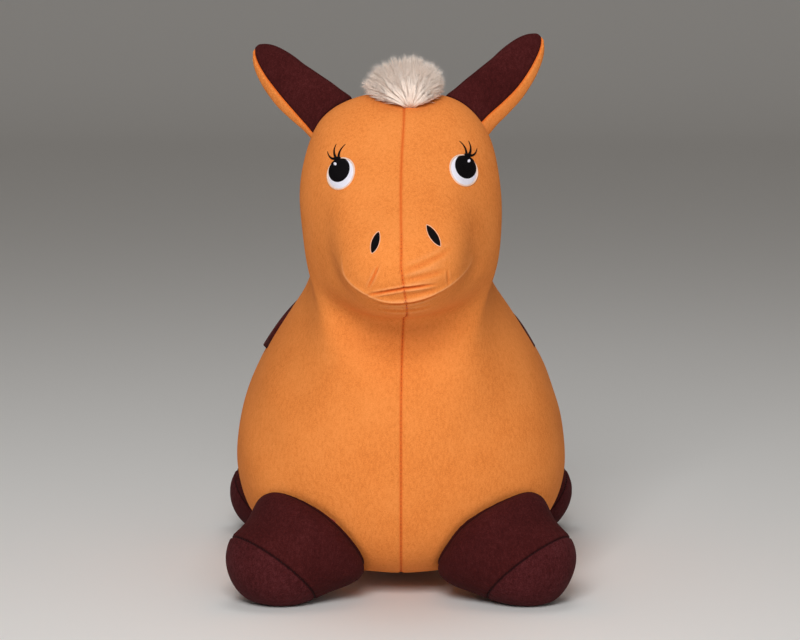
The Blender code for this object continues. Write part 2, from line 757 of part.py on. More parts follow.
def make_zip():
    """Tapes, two rows of teeth, end stops, slider and pull."""
    level = zip_level()
    front = along(ZIP_ALONG_SHARE) - ZIP_LENGTH / 2
    rear = front + ZIP_LENGTH
    inner = CHAIN_INSET + CHAIN_SPINE + CLEARANCE
    chain_front = front + STOP_LENGTH + CLEARANCE + SLIDER_NOSE + CLEARANCE
    chain_rear = rear - STOP_LENGTH - CLEARANCE
    for side, sign in SIDES.items():
        edges = sorted((sign * inner, sign * (inner + TAPE_WIDTH)))
        low = (edges[0], front, level - TAPE_THICKNESS / 2)
        high = (edges[1], rear, level + TAPE_THICKNESS / 2)
        part(f"zip_tape_{side}", block_mesh("tape", low, high), TAPE)
        comb = prism_mesh("teeth", comb_outline(sign, chain_front, chain_rear), CHAIN_THICKNESS)
        part(f"zip_teeth_{side}", comb, TEETH, Matrix.Translation((0, 0, level)))
    stop_half = CHAIN_INSET + CHAIN_SPINE
    for end, start in (("front", front), ("rear", rear - STOP_LENGTH)):
        low = (-stop_half, start, level - CHAIN_THICKNESS / 2)
        high = (stop_half, start + STOP_LENGTH, level + CHAIN_THICKNESS / 2)
        part(f"zip_stop_{end}", block_mesh("stop", low, high), METAL)
    make_slider(front + STOP_LENGTH + CLEARANCE, level)


def make_slider(nose, level):
    """Two plates joined by a nose that parts the chain, and a bail with the pull's pin."""
    channel = CHAIN_THICKNESS / 2 + CLEARANCE
    bottom = level - channel - SLIDER_PLATE
    low = (-SLIDER_WIDTH / 2, nose, bottom)
    high = (SLIDER_WIDTH / 2, nose + SLIDER_LENGTH, level + channel + SLIDER_PLATE)
    place = Matrix.Translation((0, nose, level))
    shift = Matrix.Translation((0, -nose, -level))
    body = block_mesh("slider", low, high)
    body.transform(shift)
    slider = part("zip_slider", body, METAL, place)
    wide = SLIDER_WIDTH
    room = block_mesh("chain room", (-wide, SLIDER_NOSE, -channel), (wide, SLIDER_LENGTH + wide, channel))
    tape_gap = TAPE_THICKNESS / 2 + CLEARANCE
    for sign in SIDES.values():
        edges = sorted((sign * (CHAIN_INSET + CHAIN_SPINE), sign * wide))
        slot = block_mesh("tape slot", (edges[0], -wide, -tape_gap), (edges[1], SLIDER_LENGTH + wide, tape_gap))
        cut(slider, cutter("tape slot", slot, place))
    cut(slider, cutter("chain room", room, place))
    # The bail hangs under the slider's middle and carries the pin
    pin_place = Vector((0, nose + SLIDER_LENGTH / 2, bottom - BAIL_DROP / 2))
    cheek_gap = PULL_WIDTH / 2 + CLEARANCE
    cheek_edge = SLIDER_WIDTH / 2
    for sign in SIDES.values():
        edges = sorted((sign * cheek_gap, sign * cheek_edge))
        low = (edges[0], -BAIL_LENGTH / 2, -BAIL_DROP / 2)
        high = (edges[1], BAIL_LENGTH / 2, BAIL_DROP / 2 + SLIDER_PLATE / 2)
        cheek = cutter("cheek", block_mesh("cheek", low, high), Matrix.Translation(pin_place))
        change(slider, cheek, "UNION")
    crosswise = Matrix.Translation(pin_place) @ Matrix.Rotation(math.pi / 2, 4, "Y")
    pin = round_mesh("pin", BAIL_PIN_RADIUS, cheek_gap + cheek_edge, SMALL_POINTS)
    change(slider, cutter("pin", pin, crosswise), "UNION")
    make_pull(pin_place, crosswise)
    print(f"zip_pull_swing: pin {tuple(pin_place)}")


def make_pull(pin_place, crosswise):
    """A flat pull that hangs from the slider's pin."""
    top = PULL_EYE_RADIUS + PULL_THICKNESS / 2
    low = (-PULL_WIDTH / 2, -PULL_THICKNESS / 2, -PULL_LENGTH)
    high = (PULL_WIDTH / 2, PULL_THICKNESS / 2, 0)
    pull = part("zip_pull", block_mesh("pull", low, high), METAL, Matrix.Translation(pin_place))
    knuckle = round_mesh("knuckle", top, PULL_WIDTH, SMALL_POINTS)
    change(pull, cutter("knuckle", knuckle, crosswise), "UNION")
    eye = round_mesh("eye", PULL_EYE_RADIUS, PULL_WIDTH + PULL_WIDTH, SMALL_POINTS)
    cut(pull, cutter("eye", eye, crosswise))


clear_scene()
PARTS = collection("bouncy horse")
CUTTERS = collection("cutters")
FLEECE = finish("orange fleece", (0.82, 0.26, 0.06), 0.9)
BOOT_FLEECE = finish("maroon fleece", (0.065, 0.012, 0.013), 0.9)
FUR = finish("cream fur", (0.73, 0.51, 0.38), 0.9)
WHITE_THREAD = finish("white thread", (0.85, 0.84, 0.88), 0.5)
BLACK_THREAD = finish("black thread", (0.006, 0.005, 0.008), 0.4)
STUFFING = finish("polyester filling", (0.8, 0.8, 0.8), 1.0)
RUBBER = finish("bladder vinyl", (0.55, 0.10, 0.06), 0.4)
PLUG_PLASTIC = finish("plug plastic", (0.8, 0.8, 0.78), 0.4)
TAPE = finish("zip tape", (0.75, 0.22, 0.05), 0.8)
TEETH = finish("zip teeth", (0.70, 0.20, 0.05), 0.4)
METAL = finish("zip metal", (0.6, 0.6, 0.62), 0.3, 1)

BODY = body_form()
LEGS = {(end, side): leg_form(end, side) for end in ENDS for side in SIDES}
TREE = BVHTree.FromPolygons([v.co for v in BODY.vertices], [p.vertices for p in BODY.polygons])
RUMP = surface(TREE, (0, OVERRUN, rise(RUMP_SHARES[1])), -BACK)
# The valve's own Z points backwards, out of the rump
VALVE = frame_matrix(RUMP, LEFT, UP.cross(BACK).cross(BACK).normalized(), BACK)

make_cover(BODY, LEGS, VALVE)
make_feet(BODY, LEGS)
make_bladder(BODY, LEGS, VALVE)
make_plug(VALVE)
for ear_side in SIDES:
    make_ear(BODY, TREE, ear_side)
make_mane(BODY, TREE)
make_tail(BODY, TREE)
make_saddle(BODY)
make_face(BODY, TREE)
make_zip()
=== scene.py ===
"""A plush-covered bouncy horse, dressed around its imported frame.

The horse faces -Y, its own left is +X, and it stands on z = 0. Lengths are in metres.
"""

import json
import math

import bmesh
import bpy
import numpy as np
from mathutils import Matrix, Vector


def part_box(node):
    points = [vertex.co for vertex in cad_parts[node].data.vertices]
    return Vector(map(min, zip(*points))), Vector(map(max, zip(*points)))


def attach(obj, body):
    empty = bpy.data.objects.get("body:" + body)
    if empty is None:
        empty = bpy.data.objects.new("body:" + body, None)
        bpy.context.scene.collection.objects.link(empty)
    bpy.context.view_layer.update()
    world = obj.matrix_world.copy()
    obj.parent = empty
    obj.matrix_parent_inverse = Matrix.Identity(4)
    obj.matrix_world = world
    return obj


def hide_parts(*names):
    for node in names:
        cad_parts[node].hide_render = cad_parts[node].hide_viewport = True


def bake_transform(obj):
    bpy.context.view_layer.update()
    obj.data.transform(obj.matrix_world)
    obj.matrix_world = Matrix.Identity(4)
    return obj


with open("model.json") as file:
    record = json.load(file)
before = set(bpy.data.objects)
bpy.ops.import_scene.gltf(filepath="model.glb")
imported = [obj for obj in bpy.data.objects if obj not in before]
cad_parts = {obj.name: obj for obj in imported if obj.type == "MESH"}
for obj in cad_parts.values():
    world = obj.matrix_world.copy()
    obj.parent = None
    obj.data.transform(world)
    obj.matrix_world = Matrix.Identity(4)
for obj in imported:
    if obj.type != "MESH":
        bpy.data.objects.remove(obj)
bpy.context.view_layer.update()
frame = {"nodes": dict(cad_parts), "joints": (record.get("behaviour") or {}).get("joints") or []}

# Stage, light and camera
# The horse stands alone in a soft studio light on a pale floor. The light comes from
# above the camera, so the middle of the body is bright and its edges fall off.
CAMERA_PLACE = (0.0, -3.176, 0.618)
CAMERA_PITCH = math.radians(7.11)
CAMERA_LENS_MM = 161.4
CAMERA_SHIFT = -0.00125
FLOOR_COLOUR = (0.86, 0.86, 0.85, 1)
FLOOR_HALF = 9.0
FLOOR_CURL = 5.2
FLOOR_COLUMNS = 8
FLOOR_ROWS = 60
FLOOR_ROUGHNESS = 0.9
WORLD_LIGHT = 0.17
WORLD_COLOUR = (1.0, 0.93, 0.86, 1)
LAMPS = {
    "key": ((-0.25, -2.65, 1.70), 1.1, 61),
    "fill": ((0.9, -2.9, 0.8), 1.2, 7),
    "top": ((0.0, 0.1, 2.3), 1.2, 9),
}
LAMP_TARGET = (0.0, -0.05, 0.22)


def add(material, kind, inputs=None, **settings):
    """Add a shader node: settings are its options, and an input is a value or an output."""
    made = material.node_tree.nodes.new(kind)
    for key, value in settings.items():
        setattr(made, key, value)
    for key, value in (inputs or {}).items():
        if isinstance(value, bpy.types.NodeSocket):
            material.node_tree.links.new(value, made.inputs[key])
        else:
            made.inputs[key].default_value = value
    return made


def new_material(name):
    """An empty material, its Principled shader and its places in the object."""
    material = bpy.data.materials.new(name)
    material.use_nodes = True
    place = add(material, "ShaderNodeTexCoord").outputs["Object"]
    return material, material.node_tree.nodes["Principled BSDF"], place


def new_object(name, points, faces, material):
    """A smooth object of one material from points and lists of faces."""
    mesh = bpy.data.meshes.new(name)
    mesh.from_pydata(points.tolist(), [], faces)
    mesh.shade_smooth()
    mesh.materials.append(material)
    made = bpy.data.objects.new(name, mesh)
    bpy.context.scene.collection.objects.link(made)
    return made


def lamp(name, place, size, power):
    """A square soft box that looks at the horse."""
    data = bpy.data.lights.new(name, "AREA")
    data.size = size
    data.energy = power
    made = bpy.data.objects.new(name, data)
    made.location = place
    aim = np.array(LAMP_TARGET) - np.array(place)
    made.rotation_euler = (
        math.atan2(np.hypot(aim[0], aim[1]), -aim[2]),
        0,
        math.atan2(aim[1], aim[0]) - math.pi / 2,
    )
    bpy.context.scene.collection.objects.link(made)


def stage_floor():
    """A floor that curls up far behind the horse: height is a squared run past the curl."""
    sides = np.linspace(-FLOOR_HALF, FLOOR_HALF, FLOOR_COLUMNS + 1)
    across, run = np.meshgrid(sides, np.linspace(-FLOOR_HALF, FLOOR_HALF, FLOOR_ROWS + 1))
    height = np.maximum(run - FLOOR_CURL, 0) ** 2 / 2
    rows, columns = np.mgrid[0:FLOOR_ROWS, 0:FLOOR_COLUMNS]
    corner = rows * (FLOOR_COLUMNS + 1) + columns
    behind = corner + FLOOR_COLUMNS + 1
    faces = np.stack([corner, corner + 1, behind + 1, behind], -1)
    material, shader, _ = new_material("pale floor")
    shader.inputs["Base Color"].default_value = FLOOR_COLOUR
    shader.inputs["Roughness"].default_value = FLOOR_ROUGHNESS
    points = np.stack([across, run, height], -1).reshape(-1, 3)
    new_object("studio_floor", points, faces.reshape(-1, 4).tolist(), material)


for lamp_name, (lamp_place, lamp_size, lamp_power) in LAMPS.items():
    lamp(lamp_name, lamp_place, lamp_size, lamp_power)
stage_floor()
world = bpy.data.worlds.new("studio")
world.use_nodes = True
world.node_tree.nodes["Background"].inputs["Color"].default_value = WORLD_COLOUR
world.node_tree.nodes["Background"].inputs["Strength"].default_value = WORLD_LIGHT
bpy.context.scene.world = world
bpy.context.scene.view_settings.view_transform = "Standard"
camera_data = bpy.data.cameras.new("camera")
camera_data.lens = CAMERA_LENS_MM
camera_data.shift_x = CAMERA_SHIFT
camera = bpy.data.objects.new("camera", camera_data)
camera.location = CAMERA_PLACE
camera.rotation_euler = (math.pi / 2 - CAMERA_PITCH, 0, 0)
bpy.context.scene.collection.objects.link(camera)
bpy.context.scene.camera = camera

# Bladder
# The body is a blown-up bladder of soft vinyl, welded from two halves along the middle,
# with a stub for each foot and a moulded collar at the rump that holds the plug.
JOINTS = {joint["name"]: joint for joint in frame["joints"]}
SIDES = {"left": 1, "right": -1}
BODY_LENGTH = 0.522
BODY_WIDTH = 0.284
POLL_HEIGHT = 0.434
BELLY_HEIGHT = 0.013
TAIL_OVERHANG = 0.021
MUZZLE_LEAN = math.radians(7)
BODY_POINTS = 12
HALF_ROUND = BODY_POINTS // 2
# top along, top height, under along, under height, half width, taper, squareness, lean
SECTION_SHARES = (
    (0.981, 0.449, 0.981, 0.162, 0.500, 0.00, 2.0, 0.0),
    (0.914, 0.538, 0.923, 0.069, 0.770, 0.05, 2.1, 0.0),
    (0.795, 0.587, 0.815, 0.000, 0.965, 0.11, 2.2, 0.0),
    (0.640, 0.577, 0.650, 0.000, 1.000, 0.16, 2.2, 0.0),
    (0.522, 0.595, 0.480, 0.000, 1.000, 0.22, 2.2, 0.0),
    (0.477, 0.677, 0.260, 0.000, 0.965, 0.34, 2.2, 0.0),
    (0.464, 0.759, 0.160, 0.070, 0.800, 0.45, 2.2, 0.0),
    (0.444, 0.824, 0.140, 0.265, 0.552, 0.20, 2.3, 0.0),
    (0.420, 0.905, 0.155, 0.418, 0.512, 0.00, 2.4, 0.0),
    (0.377, 0.965, 0.190, 0.513, 0.590, 0.00, 2.7, 0.1),
    (0.320, 1.005, 0.180, 0.561, 0.606, 0.00, 2.9, 0.2),
    (0.243, 0.980, 0.138, 0.562, 0.532, 0.00, 2.7, 0.3),
    (0.167, 0.895, 0.086, 0.570, 0.414, 0.00, 2.4, 0.6),
    (0.086, 0.794, 0.040, 0.590, 0.368, 0.00, 2.3, 1.0),
    (0.029, 0.735, 0.013, 0.628, 0.264, 0.00, 2.1, 1.0),
)
RUMP_SHARES = (1.0, 0.294)
NOSE_SHARES = (0.0, 0.680)
LEG_LENGTH = 0.152
LEG_RADIUS = 0.0520
LEG_POINTS = 8
LEG_DROP = math.radians(45)
LEG_TURN = math.radians(25)
FOOT_SPREAD = {"front": 0.222, "rear": 0.246}
FOOT_ALONG_SHARES = {"front": 0.192, "rear": 0.856}
SOLE_HEIGHT = 0.0330
FLOOR_SOFTNESS = 0.0060
FLAT_DEPTH = 0.0005
# Section places along the leg from the sole seam, girths, and sags
LEG_SHARES = ((-0.470, 1.10, 0.165), (-0.220, 0.866, 0.103), (0.0, 0.873, 0.0), (0.165, 0.65, 0.0))
LEG_END_SHARES = ((-0.620, 0.165), (0.263, 0.0))
BLADDER_DEPTH = 0.0036
WELD_RIDGE = 0.0008
WELD_WIDTH = 0.0020
COLLAR_RADIUS = 0.0112
COLLAR_BORE = 0.0055
COLLAR_FACE = 0.0019
COLLAR_DEPTH = 0.0149
COLLAR_CHAMFER = 0.0006
VINYL_RED = (0.55, 0.10, 0.06, 1)
VINYL_DEEP = (0.42, 0.06, 0.04, 1)
TURNED_POINTS = 72
MERGE_DISTANCE = 1e-7


def along(share):
    """Distance back of a share of the length, counted from the nose."""
    return share * BODY_LENGTH - (BODY_LENGTH + TAIL_OVERHANG) / 2


def rise(share):
    """Height of a share of the way from the belly to the poll."""
    return BELLY_HEIGHT + share * (POLL_HEIGHT - BELLY_HEIGHT)


def midline(shares):
    """The point on the middle plane at a pair of shares along and up."""
    return np.array((0, along(shares[0]), rise(shares[1])))


def turn_about(axis, angle, vector):
    """A vector turned about an axis by Rodrigues' rule."""
    axis = np.asarray(axis, float)
    vector = np.asarray(vector, float)
    upright = np.cross(axis, vector)
    along_axis = axis * (axis @ vector) * (1 - math.cos(angle))
    return vector * math.cos(angle) + upright * math.sin(angle) + along_axis


def unit(vectors):
    """Vectors scaled to length one."""
    return vectors / np.maximum(np.linalg.norm(vectors, axis=-1, keepdims=True), 1e-12)


def bell(value, width):
    """A bell curve: e to the minus square of a value over a width."""
    return np.exp(-((value / width) ** 2))


def circle(count):
    """Turns in equal steps round a whole circle."""
    return math.tau * np.arange(count) / count


def spokes(count, first, second):
    """Vectors round a circle: each turn's cosine of the first and sine of the second."""
    turn = circle(count)[:, None]
    return np.cos(turn) * first + np.sin(turn) * second


def powered(value, power):
    """A power of a value's size, with its sign kept."""
    return np.sign(value) * np.abs(value) ** power


def ring(middle, upward, sideways, count, square=2.0, taper=0.0):
    """A closed superellipse of control points: cosine upward and sine sideways, each to
    the power two over its squareness, swollen so that the smooth limit passes through."""
    turn = circle(count)
    high = powered(np.cos(turn), 2 / square)
    wide = powered(np.sin(turn), 2 / square) * (1 - taper * high)
    swell = 3 / (2 + math.cos(math.tau / count))
    return middle + (high[:, None] * upward + wide[:, None] * sideways) * swell


def cage(rings, start, end):
    """Rows of a closed form. A pole is a row of its own, and past it the nearest ring
    comes again, turned by half a turn, so that the pole is smooth."""
    ends = []
    for pole, nearest in ((start, rings[0]), (end, rings[-1])):
        again = np.roll(nearest, len(nearest) // 2, axis=0)
        ends.append([again, np.broadcast_to(pole, nearest.shape)])
    return np.stack([*ends[0], *rings, *ends[1][::-1]])


def weights(share):
    """The four cubic B-spline weights at a share of a span, and their slopes."""
    left = 1 - share
    inner = [(3 * part**3 - 6 * part**2 + 4) / 6 for part in (share, left)]
    bend = [(3 * part**2 - 4 * part) / 2 for part in (share, left)]
    value = (left**3 / 6, *inner, share**3 / 6)
    return value, (-(left**2) / 2, bend[0], -bend[1], share**2 / 2)


def patch(form, u, v):
    """Bicubic B-spline over a cage, closed round u: point, slope round and slope along."""
    u, v = np.broadcast_arrays(np.asarray(u, float), np.asarray(v, float))
    row = np.clip(np.floor(v).astype(int), 1, len(form) - 3)
    column = np.floor(u).astype(int)
    round_value, round_slope = weights(u - column)
    along_value, along_slope = weights(v - row)
    point, across, onward = np.zeros((3, *u.shape, 3))
    for i in range(4):
        for j in range(4):
            corner = form[row + i - 1, (column + j - 1) % form.shape[1]]
            point += (along_value[i] * round_value[j])[..., None] * corner
            across += (along_value[i] * round_slope[j])[..., None] * corner
            onward += (along_slope[i] * round_value[j])[..., None] * corner
    return point, across, onward


def spine(form, v):
    """Points on the middle line of a cage's form."""
    return patch(form.mean(axis=1, keepdims=True), 0 * v, v)[0]


def outward(form, u, v):
    """The patch's outward unit normal: the cross product of its slopes, turned to point
    away from the middle of its own row."""
    edge = 1e-3
    inside = np.clip(v, 1 + edge, len(form) - 2 - edge)
    point, across, onward = patch(form, u, inside)
    normal = unit(np.cross(onward, across))
    return normal * np.sign(np.sum(normal * (point - spine(form, inside))))


def closed_rows(points):
    """Points and faces of rows of closed loops."""
    rows, columns = points.shape[:2]
    row, column = np.mgrid[0 : rows - 1, 0:columns]
    after = (column + 1) % columns
    faces = np.stack([row * columns + column, row * columns + after], -1)
    faces = np.concatenate([faces, faces[..., ::-1] + columns], -1)
    return points.reshape(-1, 3), faces.reshape(-1, 4)


def places(form, steps, rows):
    """A grid of places all over a form: steps between its columns, and rows along it."""
    turns = np.arange(form.shape[1] * steps) / steps
    return np.meshgrid(turns, np.linspace(1, len(form) - 2, rows))


def keep(piece, values):
    """Keep named values with a piece's points, for its material to read."""
    for key, value in values.items():
        layer = piece.data.attributes.new(key, "FLOAT", "POINT")
        layer.data.foreach_set("value", np.ravel(value).astype(np.float32))


def merge(piece, distance):
    """Merge a piece's doubles and turn its faces outwards."""
    tidy = bmesh.new()
    tidy.from_mesh(piece.data)
    bmesh.ops.remove_doubles(tidy, verts=tidy.verts, dist=distance)
    bmesh.ops.recalc_face_normals(tidy, faces=tidy.faces)
    tidy.to_mesh(piece.data)
    tidy.free()
    piece.data.shade_smooth()


def dress(piece, body=None, node=None):
    """Attach a piece to the body that it rides on, and hide the frame node that it stands for."""
    if body:
        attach(piece, body)
    if node:
        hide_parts(node)


def sew(name, forms, material, slot, body=None, node=None, fill=None, **values):
    """One smooth object from forms of points and faces, merged and dressed, with values
    for its material."""
    starts = np.cumsum([0] + [len(points) for points, _ in forms])
    points = np.concatenate([points for points, _ in forms])
    faces = [face for start, (_, part) in zip(starts, forms) for face in (part + start).tolist()]
    piece = new_object(name, points, faces, material)
    keep(piece, values)
    merge(piece, MERGE_DISTANCE)
    dress(piece, body, node)
    return piece


def body_cage():
    """Control rows of torso, neck and head, from rump to nose."""
    rings = []
    for *places_along, half_width, taper, square, lean in SECTION_SHARES:
        top, under = midline(places_along[:2]), midline(places_along[2:])
        upward = turn_about((0, 1, 0), -lean * MUZZLE_LEAN, (top - under) / 2)
        sideways = turn_about((0, 1, 0), -lean * MUZZLE_LEAN, (half_width * BODY_WIDTH / 2, 0, 0))
        rings.append(ring((top + under) / 2, upward, sideways, BODY_POINTS, square, taper))
    return cage(rings, midline(RUMP_SHARES), midline(NOSE_SHARES))


def leg_frame(end, side):
    """Centre of a foot's sole seam, the leg's outward axis, and two axes across it."""
    sign, forward = SIDES[side], -1 if end == "front" else 1
    seam = np.array((sign * FOOT_SPREAD[end] / 2, along(FOOT_ALONG_SHARES[end]), SOLE_HEIGHT))
    level = np.array((sign * math.cos(LEG_TURN), forward * math.sin(LEG_TURN), 0))
    out = math.cos(LEG_DROP) * level - (0, 0, math.sin(LEG_DROP))
    across = unit(np.cross(out, (0, 0, 1)))
    return seam, out, across, np.cross(across, out)


def leg_cage(end, side):
    """Control rows of a leg, from inside the torso to its domed sole."""
    seam, out, across, over = leg_frame(end, side)
    down = np.array((0, 0, -1))
    rings = []
    for reach, girth, sag in LEG_SHARES:
        middle = seam + (out * reach + down * sag) * LEG_LENGTH
        radius = girth * LEG_RADIUS
        rings.append(ring(middle, over * radius, across * radius, LEG_POINTS))
    poles = [seam + (out * reach + down * sag) * LEG_LENGTH for reach, sag in LEG_END_SHARES]
    return cage(rings, *poles)


def pressed(points, lowest=None):
    """Points set down on a soft floor: height becomes half of itself plus its hypotenuse
    with the softness, and what would lie below the floor is flat on it."""
    soft = (points[..., 2] + np.hypot(points[..., 2], FLOOR_SOFTNESS)) / 2
    lowest = soft.min() if lowest is None else lowest
    settled = points.copy()
    settled[..., 2] = np.maximum(soft - lowest - FLAT_DEPTH, 0)
    return settled, lowest


def turned(profile, place, axis, side):
    """A profile of radius and height carried round an axis."""
    spoke = spokes(TURNED_POINTS, side, np.cross(axis, side))
    profile = np.asarray(profile, float)
    return place + profile[:, :1, None] * spoke + profile[:, 1:, None] * np.asarray(axis, float)


def noise(material, place, scale, detail, **more):
    """The value of a noise pattern."""
    inputs = {"Vector": place, "Scale": scale, "Detail": detail, **more}
    return add(material, "ShaderNodeTexNoise", inputs).outputs["Fac"]


def ramp(material, share, first, last, between=None):
    """The colour of a ramp between stops, each of which is a place and a colour."""
    made = add(material, "ShaderNodeValToRGB", {"Fac": share})
    stops = made.color_ramp.elements
    stops[0].position, stops[0].color = first
    stops[1].position, stops[1].color = last
    if between:
        stops.new(between[0]).color = between[1]
    return made.outputs["Color"]


def finished(material, shader, colour, inputs, height=None, strength=0.5, depth=0.0):
    """A material with its colour and its bump wired in, and its plain inputs set."""
    material.node_tree.links.new(colour, shader.inputs["Base Color"])
    if height is not None:
        bumped = {"Height": height, "Strength": strength, "Distance": depth}
        bump = add(material, "ShaderNodeBump", bumped)
        material.node_tree.links.new(bump.outputs["Normal"], shader.inputs["Normal"])
    for key, value in inputs.items():
        shader.inputs[key].default_value = value
    return material


def clouded(name, dark, light, cloud, strength, depth, roughness, grain=None, **more):
    """Two tones in clouds, with a bump of the same clouds or of a finer grain."""
    material, shader, place = new_material(name)
    value = noise(material, place, *cloud, **more)
    height = noise(material, place, *grain) if grain else value
    colour = ramp(material, value, (0, dark), (1, light))
    return finished(material, shader, colour, {"Roughness": roughness}, height, strength, depth)


BODY = body_cage()
ENDS = ("front", "rear")
LEGS = {(end, side): leg_cage(end, side) for end in ENDS for side in SIDES}
VALVE = np.array(JOINTS["plug_pull"]["pos_m"])
body_u, body_v = places(BODY, 8, 130)
body_points, body_across, _ = patch(BODY, body_u, body_v)
from_weld = np.abs((body_u + HALF_ROUND / 2) % HALF_ROUND - HALF_ROUND / 2)
weld = WELD_RIDGE * bell(np.linalg.norm(body_across, axis=-1) * from_weld, WELD_WIDTH)
skin_lift = (weld - BLADDER_DEPTH)[..., None]
bladder_forms = [closed_rows(body_points + outward(BODY, body_u, body_v) * skin_lift)]
for form in LEGS.values():
    leg_u, leg_v = places(form, 6, 40)
    whole = patch(form, leg_u, leg_v)[0]
    stub = whole - outward(form, leg_u, leg_v) * BLADDER_DEPTH
    bladder_forms.append(closed_rows(pressed(stub, pressed(whole)[1])[0]))
collar_profile = [
    (COLLAR_BORE, -COLLAR_DEPTH),
    (COLLAR_RADIUS, -COLLAR_DEPTH),
    (COLLAR_RADIUS, -COLLAR_FACE - COLLAR_CHAMFER),
    (COLLAR_RADIUS - COLLAR_CHAMFER, -COLLAR_FACE),
    (COLLAR_BORE, -COLLAR_FACE),
    (COLLAR_BORE, -COLLAR_DEPTH),
]
bladder_forms.append(closed_rows(turned(collar_profile, VALVE, (0, 1, 0), (1, 0, 0))))
VINYL = clouded("bladder vinyl", VINYL_DEEP, VINYL_RED, (26, 3), 0.3, 0.0002, 0.38, (700, 2))
sew("vinyl_bladder", bladder_forms, VINYL, "bladder_vinyl", "horse", "bladder")

# Valve plug
# A turned stopper of soft white plastic. Its flange lies on the collar, and a raised bar
# across the flange is there to pull it by.
FLANGE_RADIUS = 0.0105
FLANGE_TOP = -0.0004
FLANGE_BOTTOM = -0.0019
SHANK_RADIUS = 0.0048
SHANK_BEAD = 0.0052
SHANK_END = -0.0164
SHANK_HOLLOW = 0.0030
GRIP_LENGTH = 0.0120
GRIP_WIDTH = 0.0022
GRIP_HEIGHT = 0.0024
GRIP_ROWS = 17
GRIP_POINTS = 20
PLUG_WHITE = (0.80, 0.80, 0.78, 1)
PLUG_WORN = (0.66, 0.65, 0.60, 1)
SHARP_ANGLE = math.radians(40)


def rounded_bar(place, length, width, height):
    """A pill with a half-round top: superellipse rows along its length, smaller at the ends."""
    share = np.sin(np.linspace(-math.pi / 2, math.pi / 2, GRIP_ROWS))
    girth = np.maximum(1 - share**4, 0) ** 0.5
    turn = circle(GRIP_POINTS)
    x = place[0] + share[:, None] * length / 2 + 0 * turn
    y = place[1] + girth[:, None] * height * np.cos(turn)
    z = place[2] + girth[:, None] * width / 2 * np.sin(turn)
    return np.stack([x, y, z], -1)


plug_profile = [
    (0, FLANGE_TOP),
    (FLANGE_RADIUS - 0.0022, FLANGE_TOP),
    (FLANGE_RADIUS - 0.0018, FLANGE_TOP - 0.0003),
    (FLANGE_RADIUS - 0.0014, FLANGE_TOP),
    (FLANGE_RADIUS - 0.0003, FLANGE_TOP - 0.0001),
    (FLANGE_RADIUS, FLANGE_TOP - 0.0005),
    (FLANGE_RADIUS, FLANGE_BOTTOM),
    (SHANK_RADIUS, FLANGE_BOTTOM),
    (SHANK_RADIUS, SHANK_END / 2),
    (SHANK_BEAD, SHANK_END / 2 - 0.0004),
    (SHANK_RADIUS, SHANK_END / 2 - 0.0008),
    (SHANK_RADIUS, SHANK_END),
    (SHANK_HOLLOW, SHANK_END),
    (SHANK_HOLLOW, FLANGE_TOP - 0.0008),
    (0, FLANGE_TOP - 0.0008),
]
plug_forms = [
    closed_rows(turned(plug_profile, VALVE, (0, 1, 0), (1, 0, 0))),
    closed_rows(rounded_bar(VALVE + (0, FLANGE_TOP, 0), GRIP_LENGTH, GRIP_WIDTH, GRIP_HEIGHT)),
]
PLASTIC = clouded("plug plastic", PLUG_WORN, PLUG_WHITE, (180, 4), 0.2, 0.0001, 0.4)
plug = sew("valve_stopper", plug_forms, PLASTIC, "plug_plastic", "plug", "valve_plug")
plug.data.set_sharp_from_angle(angle=SHARP_ANGLE)

# Fleece cover
# Two halves of short-pile orange fleece, sewn together inside out along the middle from
# rump to chin, turned, and drawn tight by the bladder. The muzzle alone is slack and
# creases. The seam pulls in a narrow groove with the sewing thread at its bottom.
FLEECE_THICKNESS = 0.0022
SEAM_DEPTH = 0.0009
SEAM_WIDTH = 0.0014
SEAM_SHADE_WIDTH = 0.0012
SEAM_SHADE_SHARE = 0.58
# On the face the seam leaves the middle line: places round the body, and along it
SEAM_TURN = 0.16
SEAM_BEND = (11.0, 13.8)
# On the back and the forehead the stitches are drawn in out of sight
STITCHES_SHOW = 15.9
STITCH_PITCH = 0.0035
STITCH_LENGTH = 0.0014
STITCH_RADIUS = 0.00029
STITCH_UNEVENNESS = 0.08
STITCH_SHARES = (0.6, 1.25)
STITCH_SIDES = 6
BOOT_GROOVE_DEPTH = 0.0016
BOOT_GROOVE_WIDTH = 0.0050
VALVE_HOLE_RADIUS = 0.0125
VALVE_HOLE_DEPTH = 0.0042
ZIP_HALF_WIDTH = 0.0073
ZIP_HALF_LENGTH = 0.0640
ZIP_MIDDLE_SHARE = 0.588
ZIP_DEPTH = 0.0030
ZIP_END_SLOPE = 0.002
EDGE_SLOPE = 0.0012
# Slow waves, which begin beside the seam
SOFT_WAVE = 0.0007
WAVES_BEGIN = (0.002, 0.03)
# Creases of the muzzle: depth, width, then the crease's run and height (or, for an
# upright one, its height and run) as seen from the front
LEVEL_CREASES = (
    (0.0022, 0.0011, ((-0.0240, 0.2752), (0.0000, 0.2803), (0.0235, 0.2830))),
    (0.0020, 0.0012, ((-0.0150, 0.2672), (0.0060, 0.2676), (0.0300, 0.2745))),
    (0.0014, 0.0012, ((-0.0150, 0.2602), (0.0020, 0.2592), (0.0240, 0.2625))),
    (0.0008, 0.0022, ((0.0030, 0.2880), (0.0196, 0.2912), (0.0340, 0.2945))),
    (0.0008, 0.0024, ((0.0040, 0.2960), (0.0230, 0.3030), (0.0390, 0.3110))),
    (0.0006, 0.0018, ((0.0040, 0.2745), (0.0150, 0.2760), (0.0280, 0.2790))),
)
UPRIGHT_CREASES = (
    (0.0012, 0.0010, ((0.2820, -0.0265), (0.2905, -0.0225), (0.2985, -0.0190))),
    (0.0005, 0.0010, ((0.2830, 0.0390), (0.2890, 0.0385), (0.2950, 0.0380))),
)
